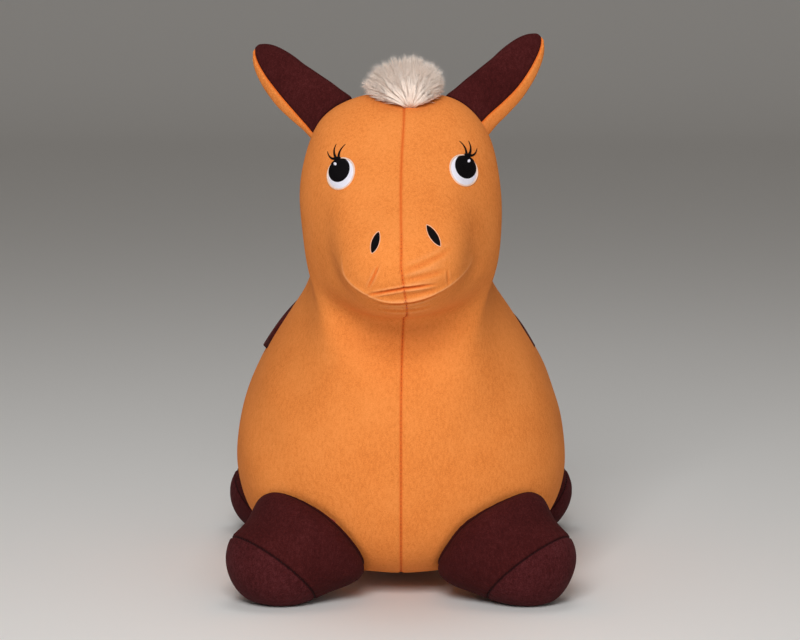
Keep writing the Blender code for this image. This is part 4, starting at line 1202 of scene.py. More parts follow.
TAPE = woven_tape()
for side in SIDES:
    low, high = (np.array(corner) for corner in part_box(f"zip_tape_{side}"))
    middle, half = (low + high) / 2, (high - low) / 2
    turn = circle(TAPE_POINTS)
    run = np.linspace(-1, 1, TAPE_ROWS)[:, None] * half[1]
    girth = np.where(np.abs(run) > half[1] - 1e-9, 0.0, 1.0)
    x = powered(np.cos(turn), TAPE_SQUARENESS) * half[0]
    z = np.sin(turn) * half[2] * (1 + TAPE_RIBBING * np.cos(run * math.tau / TAPE_RIB))
    ribbon = middle + np.stack([girth * x, run + 0 * turn, girth * z], -1)
    sew(
        f"woven_tape_{side}", [closed_rows(ribbon)], TAPE, "zip_tape",
        "horse", f"zip_tape_{side}", TAPE_FILL,
    )
ZIP_PLASTIC = moulded("zip teeth plastic", TEETH_ORANGE, TEETH_WORN, 0.0, 0.35)
ZIP_METAL = moulded("nickel", NICKEL, NICKEL_DULL, 1.0, 0.28)
for node, name, material, slot, body in (
    ("zip_teeth_left", "teeth_left", ZIP_PLASTIC, "zip_teeth", "horse"),
    ("zip_teeth_right", "teeth_right", ZIP_PLASTIC, "zip_teeth", "horse"),
    ("zip_stop_front", "stop_front", ZIP_METAL, "zip_metal", "horse"),
    ("zip_stop_rear", "stop_rear", ZIP_METAL, "zip_metal", "horse"),
    ("zip_slider", "slider", ZIP_METAL, "zip_metal", "slider"),
    ("zip_pull", "pull_tab", ZIP_METAL, "zip_metal", "pull"),
):
    softened(node, name, material, body)

# Eyes
# Machine embroidery through the fleece before the cover is sewn: a white satin-stitched
# oval with a pale pink outline, a black pupil with a white glint, and three lashes.
EYE_LENGTH = 0.0256
EYE_WIDTH = 0.0197
PUPIL_LENGTH = 0.0212
PUPIL_WIDTH = 0.0172
PUPIL_RISE = 0.0024
PUPIL_SHIFT = 0.0012
EYE_TILT = {"left": math.radians(43), "right": math.radians(35)}
EYE_SHARES = {"left": (0.370, 0.850), "right": (0.354, 0.8445)}
EYE_GUESS = (2.0, 14.0)
WHITE_RAISE = 0.0009
PUPIL_RAISE = 0.0016
GLINT_RAISE = 0.0007
OUTLINE_RADIUS = 0.00075
GLINT_RADIUS = 0.0013
GLINT_PLACE = {"left": (0.0034, 0.0066), "right": (-0.0041, 0.0068)}
LASH_RADIUS = 0.00105
LASH_TAPER = (1.1, 0.28)
LASH_LIFT = 0.0003
OUTLINE_LIFT = 0.0002
# Lash paths from the pupil's top, seen from the front: outwards and up from the eye's middle
LASHES = (
    ((0.0018, 0.0120), (0.0006, 0.0178), (-0.0040, 0.0232)),
    ((0.0043, 0.0122), (0.0056, 0.0172), (0.0038, 0.0229)),
    ((0.0050, 0.0112), (0.0090, 0.0122), (0.0112, 0.0166)),
)
LASH_BLOB_GIRTH = 1.5
LASH_BLOB = ((-0.0004, 0.0118), (0.0062, 0.0114))
THREAD_WHITE = (0.86, 0.84, 0.92, 1)
THREAD_LAVENDER = (0.66, 0.63, 0.84, 1)
THREAD_BLACK = (0.0008, 0.0008, 0.0016, 1)
THREAD_CHARCOAL = (0.0042, 0.0032, 0.0040, 1)
THREAD_PINK = (0.88, 0.66, 0.54, 1)
THREAD_BLUSH = (0.86, 0.52, 0.34, 1)
SATIN_LINES = 640
THREAD_SINK = 0.0006
EDGE_SINK = 0.0001


def satin(name, colour, shaded, roughness, gloss, turn):
    """Satin stitch: long threads side by side, a wave across them for their backs, and a
    slow change of tone along them."""
    material, shader, place = new_material(name)
    turning = {"Vector": place, "Rotation": (0, turn, 0)}
    across = add(material, "ShaderNodeMapping", turning).outputs["Vector"]
    backs = {"Vector": across, "Scale": SATIN_LINES, "Distortion": 1.2, "Detail": 1}
    lines = add(material, "ShaderNodeTexWave", backs, bands_direction="X").outputs["Fac"]
    tone = reckon(material, "MULTIPLY_ADD", lines, 0.35, 0.1)
    tone = reckon(material, "MULTIPLY_ADD", noise(material, place, 160, 2), 0.6, tone)
    tones = ramp(material, tone, (0.2, shaded), (0.6, colour))
    inputs = {"Roughness": roughness, "Specular IOR Level": gloss}
    return finished(material, shader, tones, inputs, lines, 0.5, 0.00025)


def on_face(x, z, guess, lift):
    """Points on the front of the cover straight behind x and z, and their normals."""
    u, v = seek(x, z, (0, 2), guess[0], guess[1])
    return skin(u % BODY_POINTS, v, lift)


def tilted(place, tilt, a, b):
    """Front view coordinates of a local pair, its upright axis leaning by a tilt."""
    cosine, sine = math.cos(tilt), math.sin(tilt)
    return place[0] + a * cosine + b * sine, place[1] - a * sine + b * cosine


def embroidered(place, tilt, outline, guess, raise_by):
    """A closed lens of thread: an outline scaled to its middle, domed by the square root of
    one less the scale to the sixth, over a flat underside."""
    scale = np.sin(np.linspace(0, math.pi / 2, 22))
    a, b = scale[:, None] * outline[0], scale[:, None] * outline[1]
    x, z = tilted(place, tilt, a, b)
    dome = np.sqrt(np.maximum(1 - scale**6, 0))[:, None] + 0 * a
    top = on_face(x, z, guess, raise_by * dome - EDGE_SINK)[0]
    bottom = on_face(x, z, guess, -THREAD_SINK * dome - EDGE_SINK)[0]
    return closed_rows(np.concatenate([top, bottom[-2::-1]]))


def thread_run(points, ups, radius):
    """A tube along a path: rings of eight round it, its radius given point by point."""
    runs = unit(np.gradient(points, axis=0))
    sides = unit(np.cross(runs, ups))
    spoke = spokes(8, unit(np.cross(sides, runs))[:, None], sides[:, None])
    return closed_rows(points[:, None] + spoke * np.reshape(radius, (-1, 1, 1)))


def thread_ring(points, ups, radius):
    """A tube along a closed line: rings of eight round it, and the first again at the end."""
    runs = unit(np.roll(points, -1, axis=0) - np.roll(points, 1, axis=0))
    band = points[:, None] + spokes(8, ups[:, None], unit(np.cross(runs, ups))[:, None]) * radius
    return closed_rows(np.concatenate([band, band[:1]]))


def smooth_path(points, count):
    """A parabola through three points, at even shares from the first to the last."""
    share = np.linspace(0, 1, count)[:, None]
    first, middle, last = (np.array(point) for point in points)
    middle = middle * 4 * share * (1 - share)
    return first * (1 - share) * (1 - 2 * share) + middle + last * share * (2 * share - 1)


WHITE_SATIN = satin("white thread", THREAD_WHITE, THREAD_LAVENDER, 0.5, 0.25, 0.5)
BLACK_SATIN = satin("black thread", THREAD_CHARCOAL, THREAD_BLACK, 0.5, 0.05, 0.5)
PINK_SATIN = satin("pink thread", THREAD_PINK, THREAD_BLUSH, 0.6, 0.2, 0.2)
for side, sign in SIDES.items():
    wide, high = EYE_SHARES[side]
    centre = (sign * wide * BODY_WIDTH / 2, rise(high))
    tilt = -sign * EYE_TILT[side]
    guess = (EYE_GUESS[0] * sign, EYE_GUESS[1])
    oval = np.array((np.cos(circle(96)), np.sin(circle(96))))
    size = np.array([[EYE_WIDTH / 2], [EYE_LENGTH / 2]])
    white = embroidered(centre, tilt, oval * size, guess, WHITE_RAISE)
    sew(f"eye_satin_{side}", [white], WHITE_SATIN, "white_thread", "horse", f"eye_white_{side}")
    place = (centre[0] + sign * PUPIL_SHIFT, centre[1] + PUPIL_RISE)
    pupil_oval = oval * [[PUPIL_WIDTH / 2], [PUPIL_LENGTH / 2]]
    pupil = [embroidered(place, tilt, pupil_oval, guess, PUPIL_RAISE)]
    blob_girth = np.sqrt(np.maximum(1 - np.linspace(-1, 1, 15) ** 4, 0))
    lash_girth = np.concatenate([[0], np.linspace(*LASH_TAPER, 24), [0]])
    lines = [(smooth_path(path, 26), lash_girth) for path in LASHES]
    lines.append((np.linspace(*np.array(LASH_BLOB), 15), LASH_BLOB_GIRTH * blob_girth))
    for line, girth in lines:
        x, z = centre[0] + sign * line[:, 0], centre[1] + line[:, 1]
        pupil.append(thread_run(*on_face(x, z, guess, LASH_LIFT), LASH_RADIUS * girth))
    sew(f"pupil_satin_{side}", pupil, BLACK_SATIN, "black_thread", "horse", f"eye_pupil_{side}")
    rim = oval * (size + OUTLINE_RADIUS / 2)
    edge = on_face(*tilted(centre, tilt, *rim), guess, OUTLINE_LIFT)
    outline = thread_ring(*edge, OUTLINE_RADIUS)
    sew(f"eye_outline_{side}", [outline], PINK_SATIN, "white_thread", "horse")
    dot = (centre[0] + GLINT_PLACE[side][0], centre[1] + GLINT_PLACE[side][1])
    glint = embroidered(dot, 0, oval[:, ::4] * GLINT_RADIUS, guess, PUPIL_RAISE + GLINT_RAISE)
    sew(f"eye_glint_{side}", [glint], WHITE_SATIN, "white_thread", "horse")

# Nostrils
# Two slanting leaves of charcoal satin stitch, each with a thin cream outline.
NOSTRIL_LENGTH = {"left": 0.0194, "right": 0.0172}
NOSTRIL_WIDTH = 0.0060
NOSTRIL_TILT = {"left": math.radians(33), "right": math.radians(19)}
NOSTRIL_SHARES = {"left": (0.186, 0.735), "right": (0.149, 0.7235)}
NOSTRIL_GUESS = (1.6, 15.4)
NOSTRIL_RAISE = 0.0005
RIM_RADIUS = 0.00022
RIM_LIFT = 0.0001
RIM_SHARES = ((1.12,), (1.04,))
for side, sign in SIDES.items():
    wide, high = NOSTRIL_SHARES[side]
    centre = (sign * wide * BODY_WIDTH / 2, rise(high))
    tilt = -sign * NOSTRIL_TILT[side]
    guess = (NOSTRIL_GUESS[0] * sign, NOSTRIL_GUESS[1])
    turn = circle(80)
    half_leaf = NOSTRIL_WIDTH / 2 * powered(np.sin(turn), 1.5)
    leaf = np.array((half_leaf, -NOSTRIL_LENGTH[side] / 2 * np.cos(turn)))
    slit = embroidered(centre, tilt, leaf, guess, NOSTRIL_RAISE)
    sew(f"nostril_satin_{side}", [slit], BLACK_SATIN, "black_thread", "horse", f"nostril_{side}")
    edge = on_face(*tilted(centre, tilt, *(leaf * RIM_SHARES)), guess, RIM_LIFT)
    rim = thread_ring(*edge, RIM_RADIUS)
    sew(f"nostril_rim_{side}", [rim], PINK_SATIN, "white_thread", "horse")

# Ears
# Two stuffed handles to hold on by. The back panel is orange fleece and wraps round the
# outer edge, the lining is maroon velour, and whipped stitches draw their seam in.
EAR_LENGTH = 0.097
EAR_WIDTH = 0.048
EAR_THICKNESS = 0.022
EAR_POINTS = 8
EAR_SEAM_TURN = math.radians(40)
EAR_FACING = math.radians(11)
EAR_SPLAY = {"left": math.radians(39), "right": math.radians(44)}
EAR_BACK = {"left": math.radians(12), "right": math.radians(21)}
EAR_SHARES = (
    (-0.08, 0.92, 0.60),
    (0.10, 0.98, 0.80),
    (0.32, 1.0, 1.0),
    (0.60, 0.86, 0.95),
    (0.85, 0.64, 0.70),
)
EAR_END_SHARES = (-0.18, 1.035)
# Towards its root an ear bends inwards, and its outer seam runs nearer to the edge
EAR_BEND = 0.0062
EAR_BEND_REACH = (0.056, -0.004)
EAR_ROOT_TURN = {"left": math.radians(36), "right": math.radians(14)}
EAR_PANEL = 0.0016
EAR_SEAM_DEPTH = 0.0013
EAR_SEAM_WIDTH = 0.0015
EAR_PUCKER = 0.0003
EAR_PUCKER_PITCH = 0.0042
EAR_PUCKER_PLACE = 0.0022
EAR_ROOT_DEPTH = 0.0012
EAR_ROOT_WIDTH = 0.0016
EAR_SHADE_WIDTH = 0.0011
EAR_LUMPS = 0.00015
EAR_FLARE = 0.0052
EAR_FLARE_REACH = 0.0085
EAR_BLEND = (-0.004, 0.024)
EAR_COLUMNS = 84
EAR_ROWS = 130
FILLING_WHITE = (0.86, 0.86, 0.84, 1)
FILLING_GREY = (0.70, 0.70, 0.69, 1)
FILLING_GAP = 0.0012
FILLING_TUFTS = 0.0009
FILLING_FILL = 0.8
PANEL_FILL = 0.9
PANEL_DARKNESS = 0.75


def ear_frame(side):
    """The ear's root, its axis, its width direction and the way its lining faces."""
    sign = SIDES[side]
    root = np.array(JOINTS[f"ear_{side}_flex"]["pos_m"])
    splay, back = EAR_SPLAY[side], EAR_BACK[side]
    level = np.array((sign * math.sin(splay), 0, math.cos(splay)))
    axis = level * math.cos(back) + (0, math.sin(back), 0)
    front = unit(axis * axis[1] - (0, 1, 0))
    facing = turn_about(axis, sign * EAR_FACING, front)
    return root, axis, unit(np.cross(axis, facing)) * sign, facing


def ear_cage(side, inset):
    """Control rows of an ear, drawn in all round by an inset."""
    root, axis, width, facing = ear_frame(side)
    rings = []
    for reach, broad, thick in EAR_SHARES:
        upward = facing * (thick * EAR_THICKNESS / 2 - inset)
        sideways = width * (broad * EAR_WIDTH / 2 - inset)
        rings.append(ring(root + axis * reach * EAR_LENGTH, upward, sideways, EAR_POINTS))
    start, tip = (reach * EAR_LENGTH for reach in EAR_END_SHARES)
    return cage(rings, root + axis * (start + inset), root + axis * (tip - inset))


def ear_panel(side, first_turn):
    """A panel of the ear between its two seams: grid places run from one crossing of the
    seam plane to the other, where half thickness over half width gives the crossing."""
    root, axis, width, facing = ear_frame(side)
    form = ear_cage(side, 0)
    v = np.linspace(1, len(form) - 2, EAR_ROWS)
    thick = (patch(form, 0 * v, v)[0] - root) @ facing
    broad = (patch(form, 2 + 0 * v, v)[0] - root) @ width
    near = step((spine(form, v) - root) @ axis, *EAR_BEND_REACH)
    lean = EAR_SEAM_TURN + (EAR_ROOT_TURN[side] - EAR_SEAM_TURN) * near
    crossing = np.arctan2(thick * np.cos(lean), broad * np.sin(lean))
    share = np.linspace(0, 1, EAR_COLUMNS)
    turn = crossing[:, None] + first_turn + math.pi * share
    u, v = turn * EAR_POINTS / math.tau, v[:, None] + 0 * turn
    points = patch(form, u, v)[0] - width * EAR_BEND * near[:, None, None]
    normal = outward(form, u, v)
    steps = np.linalg.norm(np.diff(points, axis=1, prepend=points[:, :1]), axis=-1)
    travelled = np.cumsum(steps, axis=1)
    gap = np.minimum(travelled, travelled[:, -1:] - travelled)
    reach = (points - root) @ axis
    height = -EAR_SEAM_DEPTH * bell(gap, EAR_SEAM_WIDTH)
    pucker = np.cos(math.tau * reach / EAR_PUCKER_PITCH + 0.7 * np.sin(180 * reach))
    height += EAR_PUCKER * pucker * bell(gap - EAR_PUCKER_PLACE, EAR_ROOT_WIDTH)
    above = np.maximum(height_over(points), 0)
    sewn = bell(above, EAR_ROOT_WIDTH)
    height += EAR_FLARE * np.exp(-above / EAR_FLARE_REACH) - EAR_ROOT_DEPTH * sewn
    lumps = np.sin(210 * reach + 2 * np.sin(2 * turn)) * np.sin(2 * turn + 90 * reach)
    height += EAR_LUMPS * lumps
    # Painted shade along the ear's seam and where it is sewn to the head
    shade = np.maximum(bell(gap, EAR_SHADE_WIDTH), 0.8 * sewn)
    outer = points + normal * height[..., None]
    inner = points + normal * (np.minimum(height, 0) - EAR_PANEL)[..., None]
    loop = np.concatenate([outer, inner[:, ::-1]], axis=1)
    return loop, np.concatenate([shade, 0 * shade], axis=1)


# Fluffy polyester: white and grey tufts with a strong bump
FIBRE = clouded(
    "loose filling", FILLING_GREY, FILLING_WHITE, (190, 6), 0.8, 0.001, 1.0, Distortion=1.5
)
for side in SIDES:
    root, axis, width = ear_frame(side)[:3]
    start, end = (tuple(root + axis * reach) for reach in EAR_BLEND)
    for kind, first_turn, finish, slot in (
        ("lining", -math.pi, MAROON_PILE, "maroon_fleece"),
        ("back", 0.0, ORANGE_PILE, "orange_fleece"),
    ):
        loop, shade = ear_panel(side, first_turn)
        panel = sew(
            f"ear_{kind}_panel_{side}", [closed_rows(loop)], finish, slot,
            node=f"ear_{kind}_{side}", fill=PANEL_FILL, seam=PANEL_DARKNESS * shade,
        )
        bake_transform(panel)
    form = ear_cage(side, EAR_PANEL + FILLING_GAP)
    u, v = places(form, 7, 60)
    reach = (patch(form, u, v)[0] - root) @ axis
    points = patch(form, u, v)[0] - width * EAR_BEND * step(reach, *EAR_BEND_REACH)[..., None]
    tufted = np.sin(5 * u + 400 * points[..., 2]) * np.sin(300 * points[..., 0] + 3 * u)
    tufted = FILLING_TUFTS * np.abs(tufted)
    tufted[[0, -1]] = 0
    points = points - outward(form, u, v) * tufted[..., None]
    filling = sew(
        f"ear_filling_{side}", [closed_rows(points)], FIBRE, "filling",
        node=f"ear_stuffing_{side}", fill=FILLING_FILL,
    )
    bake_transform(filling)

# Mane
# Long soft cream pile, sewn on as a strip from the forehead down the neck. At the front it
# stands up and fans out as a round tuft, and behind the ears it falls back in clumps.
TUFT_ROOT = (0.0077, -0.1460)
TUFT_CENTRE = (0.0077, -0.1180, 0.4192)
TUFT_HALF_DEPTH = 0.0320
TUFT_GUESS = 12.8
# The tuft is a fan seen from the front: degrees from upright, and how far it reaches
TUFT_FAN = (
    (-74, 0.0392),
    (-65, 0.0456),
    (-52, 0.0464),
    (-36, 0.0455),
    (-11, 0.0440),
    (3, 0.0455),
    (17, 0.0430),
    (33, 0.0430),
    (44, 0.0408),
    (57, 0.0362),
    (69, 0.0292),
)
TUFT_SPAN = (-74, 69)
TUFT_STRANDS = 7500
TUFT_CLUMPS = 170
TUFT_DEPTHS = (-0.92, 1.0)
TUFT_BLUNTNESS = 0.4
# Strands reach this share of the fan, less up to so much for the shorter ones
TUFT_REACH = 1.06
TUFT_SHORTER = 0.28
TUFT_PULL = (0.0, 0.5)
TIP_SCATTER = 0.0011
STRAND_TURN = 0.84
ROOT_SPREAD = (0.0020, 0.0080)
ROOT_RUN = 0.0340
ROOT_SCATTER = 0.0009
ROOT_SINK = 0.001
# Tips, and bends, stay at least this high over the head
FLOAT_HEIGHTS = (0.0012, 0.0040)
RIB_SPAN = (-66, 60)
TUFT_RIBS = 17
RIB_STRANDS = 60
RIB_REACH = (0.42, 0.78)
RIB_SCATTER = 1.6
RIB_LENGTHS = (0.75, 1.1)
RIB_LOOSE = (0.032, 0.012)
RIB_FRONT = -1.12
CREST_STRANDS = 7000
CREST_CLUMPS = 220
CREST_SPAN = (7.9, 12.9)
CREST_ROOTS = (8.0, 12.3)
CREST_PULL = (0.05, 0.55)
CREST_HALF_WIDTH = 0.021
CREST_LENGTH = (0.020, 0.031)
CREST_PAD = 0.0050
CREST_SINK = 0.001
CREST_DROP = 0.18
# The strip is this much narrower at the front, and narrows between these places
CREST_NARROWING = 0.3
CREST_NARROWS = (10.3, 12.0)
NECK_MIDDLE = (0, -0.06, 0.33)
# Painted highlight: how much paler the tuft's ribs are drawn, and all other strands
RIB_LIT = 0.55
PLAIN_LIT = 0.15
# The pad under the tuft's strands: from its centre, and its half sizes
TUFT_PAD_PLACE = (-0.0047, 0.004, 0.0165)
TUFT_PAD_SIZE = (0.0270, 0.0210, 0.0170)
STRAND_RADIUS = 0.00034
STRAND_MERGE = 1e-8
# The pad under the strands takes a tone near the root's: painted shade in the gaps between them
PAD_PAINTED_SHADE_SHARE = 0.12
FUR_TIP = (0.94, 0.80, 0.70, 1)
FUR_PLAIN = (0.91, 0.70, 0.56, 1)
# Tan of the roots, dark enough to paint the shade deep among the strands
FUR_ROOT = (0.55, 0.38, 0.28, 1)


def fur(name):
    """Cream pile: tan at its root, dark enough to paint the shade deep among the strands,
    and pale at its tip, a little different strand by strand, with a soft sheen."""
    material, shader, place = new_material(name)
    tip = add(material, "ShaderNodeAttribute", attribute_name="tip").outputs["Fac"]
    tint = add(material, "ShaderNodeAttribute", attribute_name="tint").outputs["Fac"]
    tone = reckon(material, "MULTIPLY_ADD", tint, 0.30, tip)
    tone = reckon(material, "MULTIPLY_ADD", noise(material, place, 110, 3), 0.35, tone)
    colour = ramp(material, tone, (0.15, FUR_ROOT), (1.0, FUR_TIP), (0.5, FUR_PLAIN))
    inputs = {"Roughness": 0.75, "Sheen Weight": 0.3, "Sheen Roughness": 0.4}
    return finished(material, shader, colour, inputs)


def strands(roots, bends, tips):
    """Closed three-sided spikes along parabolas from root to tip, and their shares along."""
    share = np.array((0, 0.34, 0.68, 0.9))
    left = 1 - share
    line = (left**2)[:, None, None] * roots + (2 * left * share)[:, None, None] * bends
    line = line + (share**2)[:, None, None] * tips
    line = line.transpose(1, 0, 2)
    run = unit(tips - roots)
    side = unit(np.cross(run, run[:, [1, 2, 0]] + 0.3))
    spoke = spokes(3, side[:, None], np.cross(run, side)[:, None])
    girth = STRAND_RADIUS * np.array((1.0, 0.9, 0.6, 0.3))
    rings = line[:, :, None] + girth[:, None, None] * spoke[:, None]
    points = np.concatenate([rings.reshape(len(roots), 12, 3), tips[:, None]], axis=1)
    quads = closed_rows(points[0, :12].reshape(4, 3, 3))[1]
    spike = [[9, 10, 12], [10, 11, 12], [11, 9, 12], [2, 1, 0]]
    starts = np.arange(len(roots))[:, None, None] * 13
    faces = (quads + starts).reshape(-1, 4).tolist()
    faces += (np.array(spike) + starts).reshape(-1, 3).tolist()
    shares = np.tile(np.append(np.repeat(share, 3), 1.0), (len(roots), 1))
    return points.reshape(-1, 3), faces, shares.ravel()


def fur_piece(name, roots, bends, tips, tints, lit, pad, body, node):
    """One piece of strands over a pad of the same fur, with their root-to-tip shares,
    which rise faster where a strand is lit all along, a painted highlight."""
    points, faces, shares = strands(roots, bends, tips)
    tints = np.repeat(tints + dice.uniform(-0.2, 0.2, len(roots)), 13)
    lit = np.repeat(lit + np.zeros(len(roots)), 13)
    shares = shares + lit * np.minimum(3 * shares, 1) * (1 - shares)
    faces += (pad[1] + len(points)).tolist()
    piece = new_object(name, np.concatenate([points, pad[0]]), faces, FUR)
    flat = np.zeros(len(pad[0]))
    tip = np.concatenate([shares, flat + PAD_PAINTED_SHADE_SHARE])
    keep(piece, {"tip": tip, "tint": np.concatenate([tints, flat])})
    merge(piece, STRAND_MERGE)
    dress(piece, body, node)
    return piece


def gathered(tips, ways, clumps, pull):
    """Tips drawn together: each goes a share of the way to the tip of its nearest clump.
    Each clump has a tint of its own."""
    leaders = dice.choice(len(tips), clumps, replace=False)
    nearest = (ways @ ways[leaders].T).argmax(1)
    tips = tips + pull[:, None] * (tips[leaders][nearest] - tips)
    return tips, dice.uniform(-0.5, 0.5, clumps)[nearest]


def fan_place(turn, reach, depth):
    """Places in the tuft: outwards from its centre by a share of the fan's reach at a turn
    from upright, and from front to back by a share of its half depth."""
    outline = np.array(TUFT_FAN)
    radius = reach * np.interp(turn, np.radians(outline[:, 0]), outline[:, 1])
    x = TUFT_CENTRE[0] + radius * np.sin(turn)
    y = TUFT_CENTRE[1] + depth * TUFT_HALF_DEPTH + 0 * x
    return np.stack([x, y, TUFT_CENTRE[2] + radius * np.cos(turn)], -1)


def raised(points, least):
    """Points lifted until they are at least so high over the smooth body."""
    return points + np.array((0, 0, 1)) * np.maximum(least - height_over(points), 0)[:, None]


def egg(middle, size):
    """A closed ellipsoid of rows from its top to its bottom."""
    drop, turn = np.linspace(0, math.pi, 28)[:, None], circle(40)
    x, y = np.sin(drop) * np.cos(turn), np.sin(drop) * np.sin(turn)
    points = np.stack([x * size[0], y * size[1], np.cos(drop) * size[2] + 0 * turn], -1)
    return closed_rows(np.array(middle) + points)


FUR = fur("cream fur")
turn = np.radians(dice.uniform(*TUFT_SPAN, TUFT_STRANDS))
depth = dice.uniform(*TUFT_DEPTHS, TUFT_STRANDS)
reach = TUFT_REACH - TUFT_SHORTER * dice.random(TUFT_STRANDS) ** 1.7
reach = (1 - depth**2) ** TUFT_BLUNTNESS * reach
tips = fan_place(turn, reach, depth)
ways = unit(np.stack([np.sin(turn), 1.3 * depth, np.cos(turn)], -1))
tips, tints = gathered(tips, ways, TUFT_CLUMPS, dice.uniform(*TUFT_PULL, TUFT_STRANDS))
tips += dice.normal(0, TIP_SCATTER, tips.shape)
bends = fan_place(STRAND_TURN * turn, 0.55 * reach, 1.05 * depth - 0.10)
rib_turn = np.linspace(*RIB_SPAN, TUFT_RIBS) + dice.normal(0, RIB_SCATTER, TUFT_RIBS)
rib_turn = np.radians(rib_turn)
rib_turn = np.repeat(rib_turn, RIB_STRANDS)
rib_reach = np.repeat(dice.uniform(*RIB_REACH, TUFT_RIBS), RIB_STRANDS)
rib_reach *= dice.uniform(*RIB_LENGTHS, len(rib_turn))
rib_depth = -np.sqrt(1 - np.minimum(rib_reach, 0.98) ** 2.5) - 0.08
loose = dice.normal(0, 1, len(rib_turn))
rib_tips = fan_place(rib_turn + RIB_LOOSE[0] * loose, rib_reach, rib_depth)
rib_bend_turn = STRAND_TURN * rib_turn + RIB_LOOSE[1] * loose
rib_bends = fan_place(rib_bend_turn, 0.5 * rib_reach, RIB_FRONT + 0 * rib_depth)
turn = np.concatenate([turn, rib_turn])
depth = np.concatenate([depth, -1 + 0 * rib_turn])
tips = raised(np.concatenate([tips, rib_tips]), FLOAT_HEIGHTS[0])
bends = raised(np.concatenate([bends, rib_bends]), FLOAT_HEIGHTS[1])
rib_tints = np.repeat(dice.uniform(-0.2, 0.3, TUFT_RIBS), RIB_STRANDS)
tints = np.concatenate([tints - 0.1, rib_tints])
lit = np.concatenate([0 * reach, RIB_LIT + 0 * rib_turn])
back = (depth + 1) / 2
spot_x = TUFT_ROOT[0] + np.sin(turn) * (ROOT_SPREAD[0] + ROOT_SPREAD[1] * back)
spot_x = spot_x + dice.normal(0, ROOT_SCATTER, len(turn))
spot_y = TUFT_ROOT[1] + ROOT_RUN * back * dice.uniform(0.4, 1.0, len(turn))
top_u, top_v = seek(spot_x, spot_y, (0, 1), np.sign(spot_x) * 0.2, TUFT_GUESS)
roots = skin(top_u % BODY_POINTS, top_v, -ROOT_SINK)[0]
tuft_pad = egg(TUFT_CENTRE + np.array(TUFT_PAD_PLACE), TUFT_PAD_SIZE)
fur_piece("fur_tuft", roots, bends, tips, tints, lit, tuft_pad, "horse", "mane")

strip_v = np.linspace(*CREST_SPAN, 90)[:, None]
strip_share = np.linspace(-1, 1, 40)
blunt_ends = np.sqrt(np.maximum(1 - np.linspace(-1, 1, 90)[:, None] ** 6, 0))
narrowed = 1 - CREST_NARROWING * step(strip_v, *CREST_NARROWS)
strip_reach = CREST_HALF_WIDTH * narrowed * blunt_ends
strip_speed = np.linalg.norm(patch(BODY, 0 * strip_v, strip_v)[1], axis=-1)
strip_u = strip_share * strip_reach / strip_speed
strip_v = strip_v + 0 * strip_u
pad_share = strip_reach / CREST_HALF_WIDTH + 0 * strip_u
swell_up = CREST_PAD * np.sqrt(1 - strip_share**2 * 0.98) * strip_reach / CREST_HALF_WIDTH
upper = skin(strip_u % BODY_POINTS, strip_v, swell_up)[0]
lower = skin(strip_u % BODY_POINTS, strip_v, -CREST_SINK * pad_share)[0]
crest_pad = closed_rows(np.concatenate([upper, lower[:, ::-1]], axis=1))
root_v = dice.uniform(*CREST_ROOTS, CREST_STRANDS)
root_share = dice.uniform(-1, 1, CREST_STRANDS)
speed = np.linalg.norm(patch(BODY, 0 * root_v, root_v)[1], axis=-1)
narrowed = step(root_v, *CREST_NARROWS)
root_u = root_share * CREST_HALF_WIDTH * (1 - CREST_NARROWING * narrowed) / speed
roots, normals = skin(root_u % BODY_POINTS, root_v, CREST_SINK)
_, across, onward = patch(BODY, root_u, root_v)
sideways = unit(across) * (root_share * (1 - 0.6 * narrowed))[:, None]
lengths = dice.uniform(*CREST_LENGTH, CREST_STRANDS)[:, None]
ways = unit(normals * 0.75 - unit(onward) * 0.55 + sideways * 0.75)
tips = roots + ways * lengths + np.array((0, 0, -CREST_DROP)) * lengths
from_neck = unit(tips - np.array(NECK_MIDDLE))
tips, tints = gathered(tips, from_neck, CREST_CLUMPS, dice.uniform(*CREST_PULL, CREST_STRANDS))
bends = roots + normals * lengths * 0.5 + ways * lengths * 0.1
fur_piece("fur_crest", roots, bends, tips, tints, PLAIN_LIT, crest_pad, "horse", "mane")

# Tail
# A short bush of the same fur, sewn to the rump by its upper end, so that it lifts.
RUMP_CENTRE_SHARES = (0.82, 0.322)
TAIL_WIDTH = 0.052
TAIL_STANDOFF = 0.032
TAIL_SHARES = ((0.56, 0.50, 0.45), (0.44, 0.85, 0.85), (0.30, 1.0, 1.0), (0.18, 0.80, 0.85))
TAIL_END_SHARES = (0.64, 0.08)
TAIL_CORE = 0.62
TAIL_CLEAR = 0.004
# Rows of the core where strands begin, how many rows they run, and how far they drop
TAIL_ROOTS = (1.4, 4.6)
TAIL_RUNS = (0.9, 1.9)
TAIL_DROP = (0.002, 0.010)
TAIL_PULL = (0.05, 0.5)
TAIL_BEND_SHARES = (0.56, 0.42)
TAIL_STRANDS = 7600
TAIL_CLUMPS = 150
TAIL_POINTS = 8


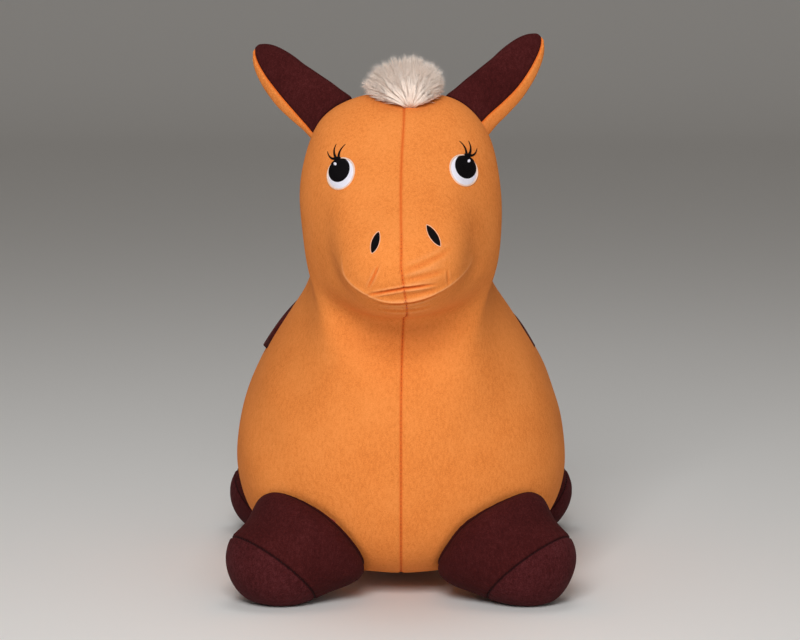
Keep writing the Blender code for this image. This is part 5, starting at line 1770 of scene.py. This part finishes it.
def rump_point(turn):
    """The skin of the middle line at a turn up from level, seen from inside the rump."""
    centre = midline(RUMP_CENTRE_SHARES)
    v = np.linspace(1.02, 4.5, 800)
    line = patch(BODY, 0 * v, v)[0]
    seen = np.arctan2(line[:, 2] - centre[2], line[:, 1] - centre[1])
    return np.array([np.interp(turn, seen, line[:, axis]) for axis in range(3)])


def rump_ray(share):
    """A point of the rump's skin at a share of the way up from level, and its ray."""
    turn = share * math.pi / 2
    return rump_point(turn), np.array((0, math.cos(turn), math.sin(turn)))


def tail_cage(size):
    """Control rows of the tail, from its sewn root down to its tip."""
    rings, poles = [], []
    for share, broad, thick in TAIL_SHARES:
        point, ray = rump_ray(share)
        ray = ray * thick * TAIL_STANDOFF / 2
        sideways = np.array((broad * size * TAIL_WIDTH / 2, 0, 0))
        rings.append(ring(point + ray, ray * size, sideways, TAIL_POINTS))
    for share in TAIL_END_SHARES:
        point, ray = rump_ray(share)
        poles.append(point + ray * TAIL_STANDOFF / 3)
    return cage(rings, *poles)


core = tail_cage(TAIL_CORE)
hull = tail_cage(1.0)
tail_pad = closed_rows(patch(core, *places(core, 5, 44))[0])
root_u = dice.uniform(0, TAIL_POINTS, TAIL_STRANDS)
root_v = dice.uniform(*TAIL_ROOTS, TAIL_STRANDS)
tip_v = np.minimum(root_v + dice.uniform(*TAIL_RUNS, TAIL_STRANDS), len(core) - 2)
roots = patch(core, root_u, root_v)[0]
bends = patch(hull, root_u, (root_v + tip_v) / 2)[0]
tips = patch(hull, root_u, tip_v)[0]
tips = tips + outward(hull, root_u, np.minimum(tip_v, len(core) - 2.1)) * 0.002
tips += np.array((0, 0, -1)) * dice.uniform(*TAIL_DROP, TAIL_STRANDS)[:, None]
from_middle = unit(tips - hull.mean(axis=(0, 1)))
tips, tints = gathered(tips, from_middle, TAIL_CLUMPS, dice.uniform(*TAIL_PULL, TAIL_STRANDS))
tips = tips + np.array((0, 1, 0)) * np.maximum(TAIL_CLEAR - height_over(tips), 0)[:, None]
tail = fur_piece("fur_tail", roots, bends, tips, tints, PLAIN_LIT, tail_pad, None, "tail")
bend = [tuple(rump_ray(share)[0]) for share in TAIL_BEND_SHARES]
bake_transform(tail)
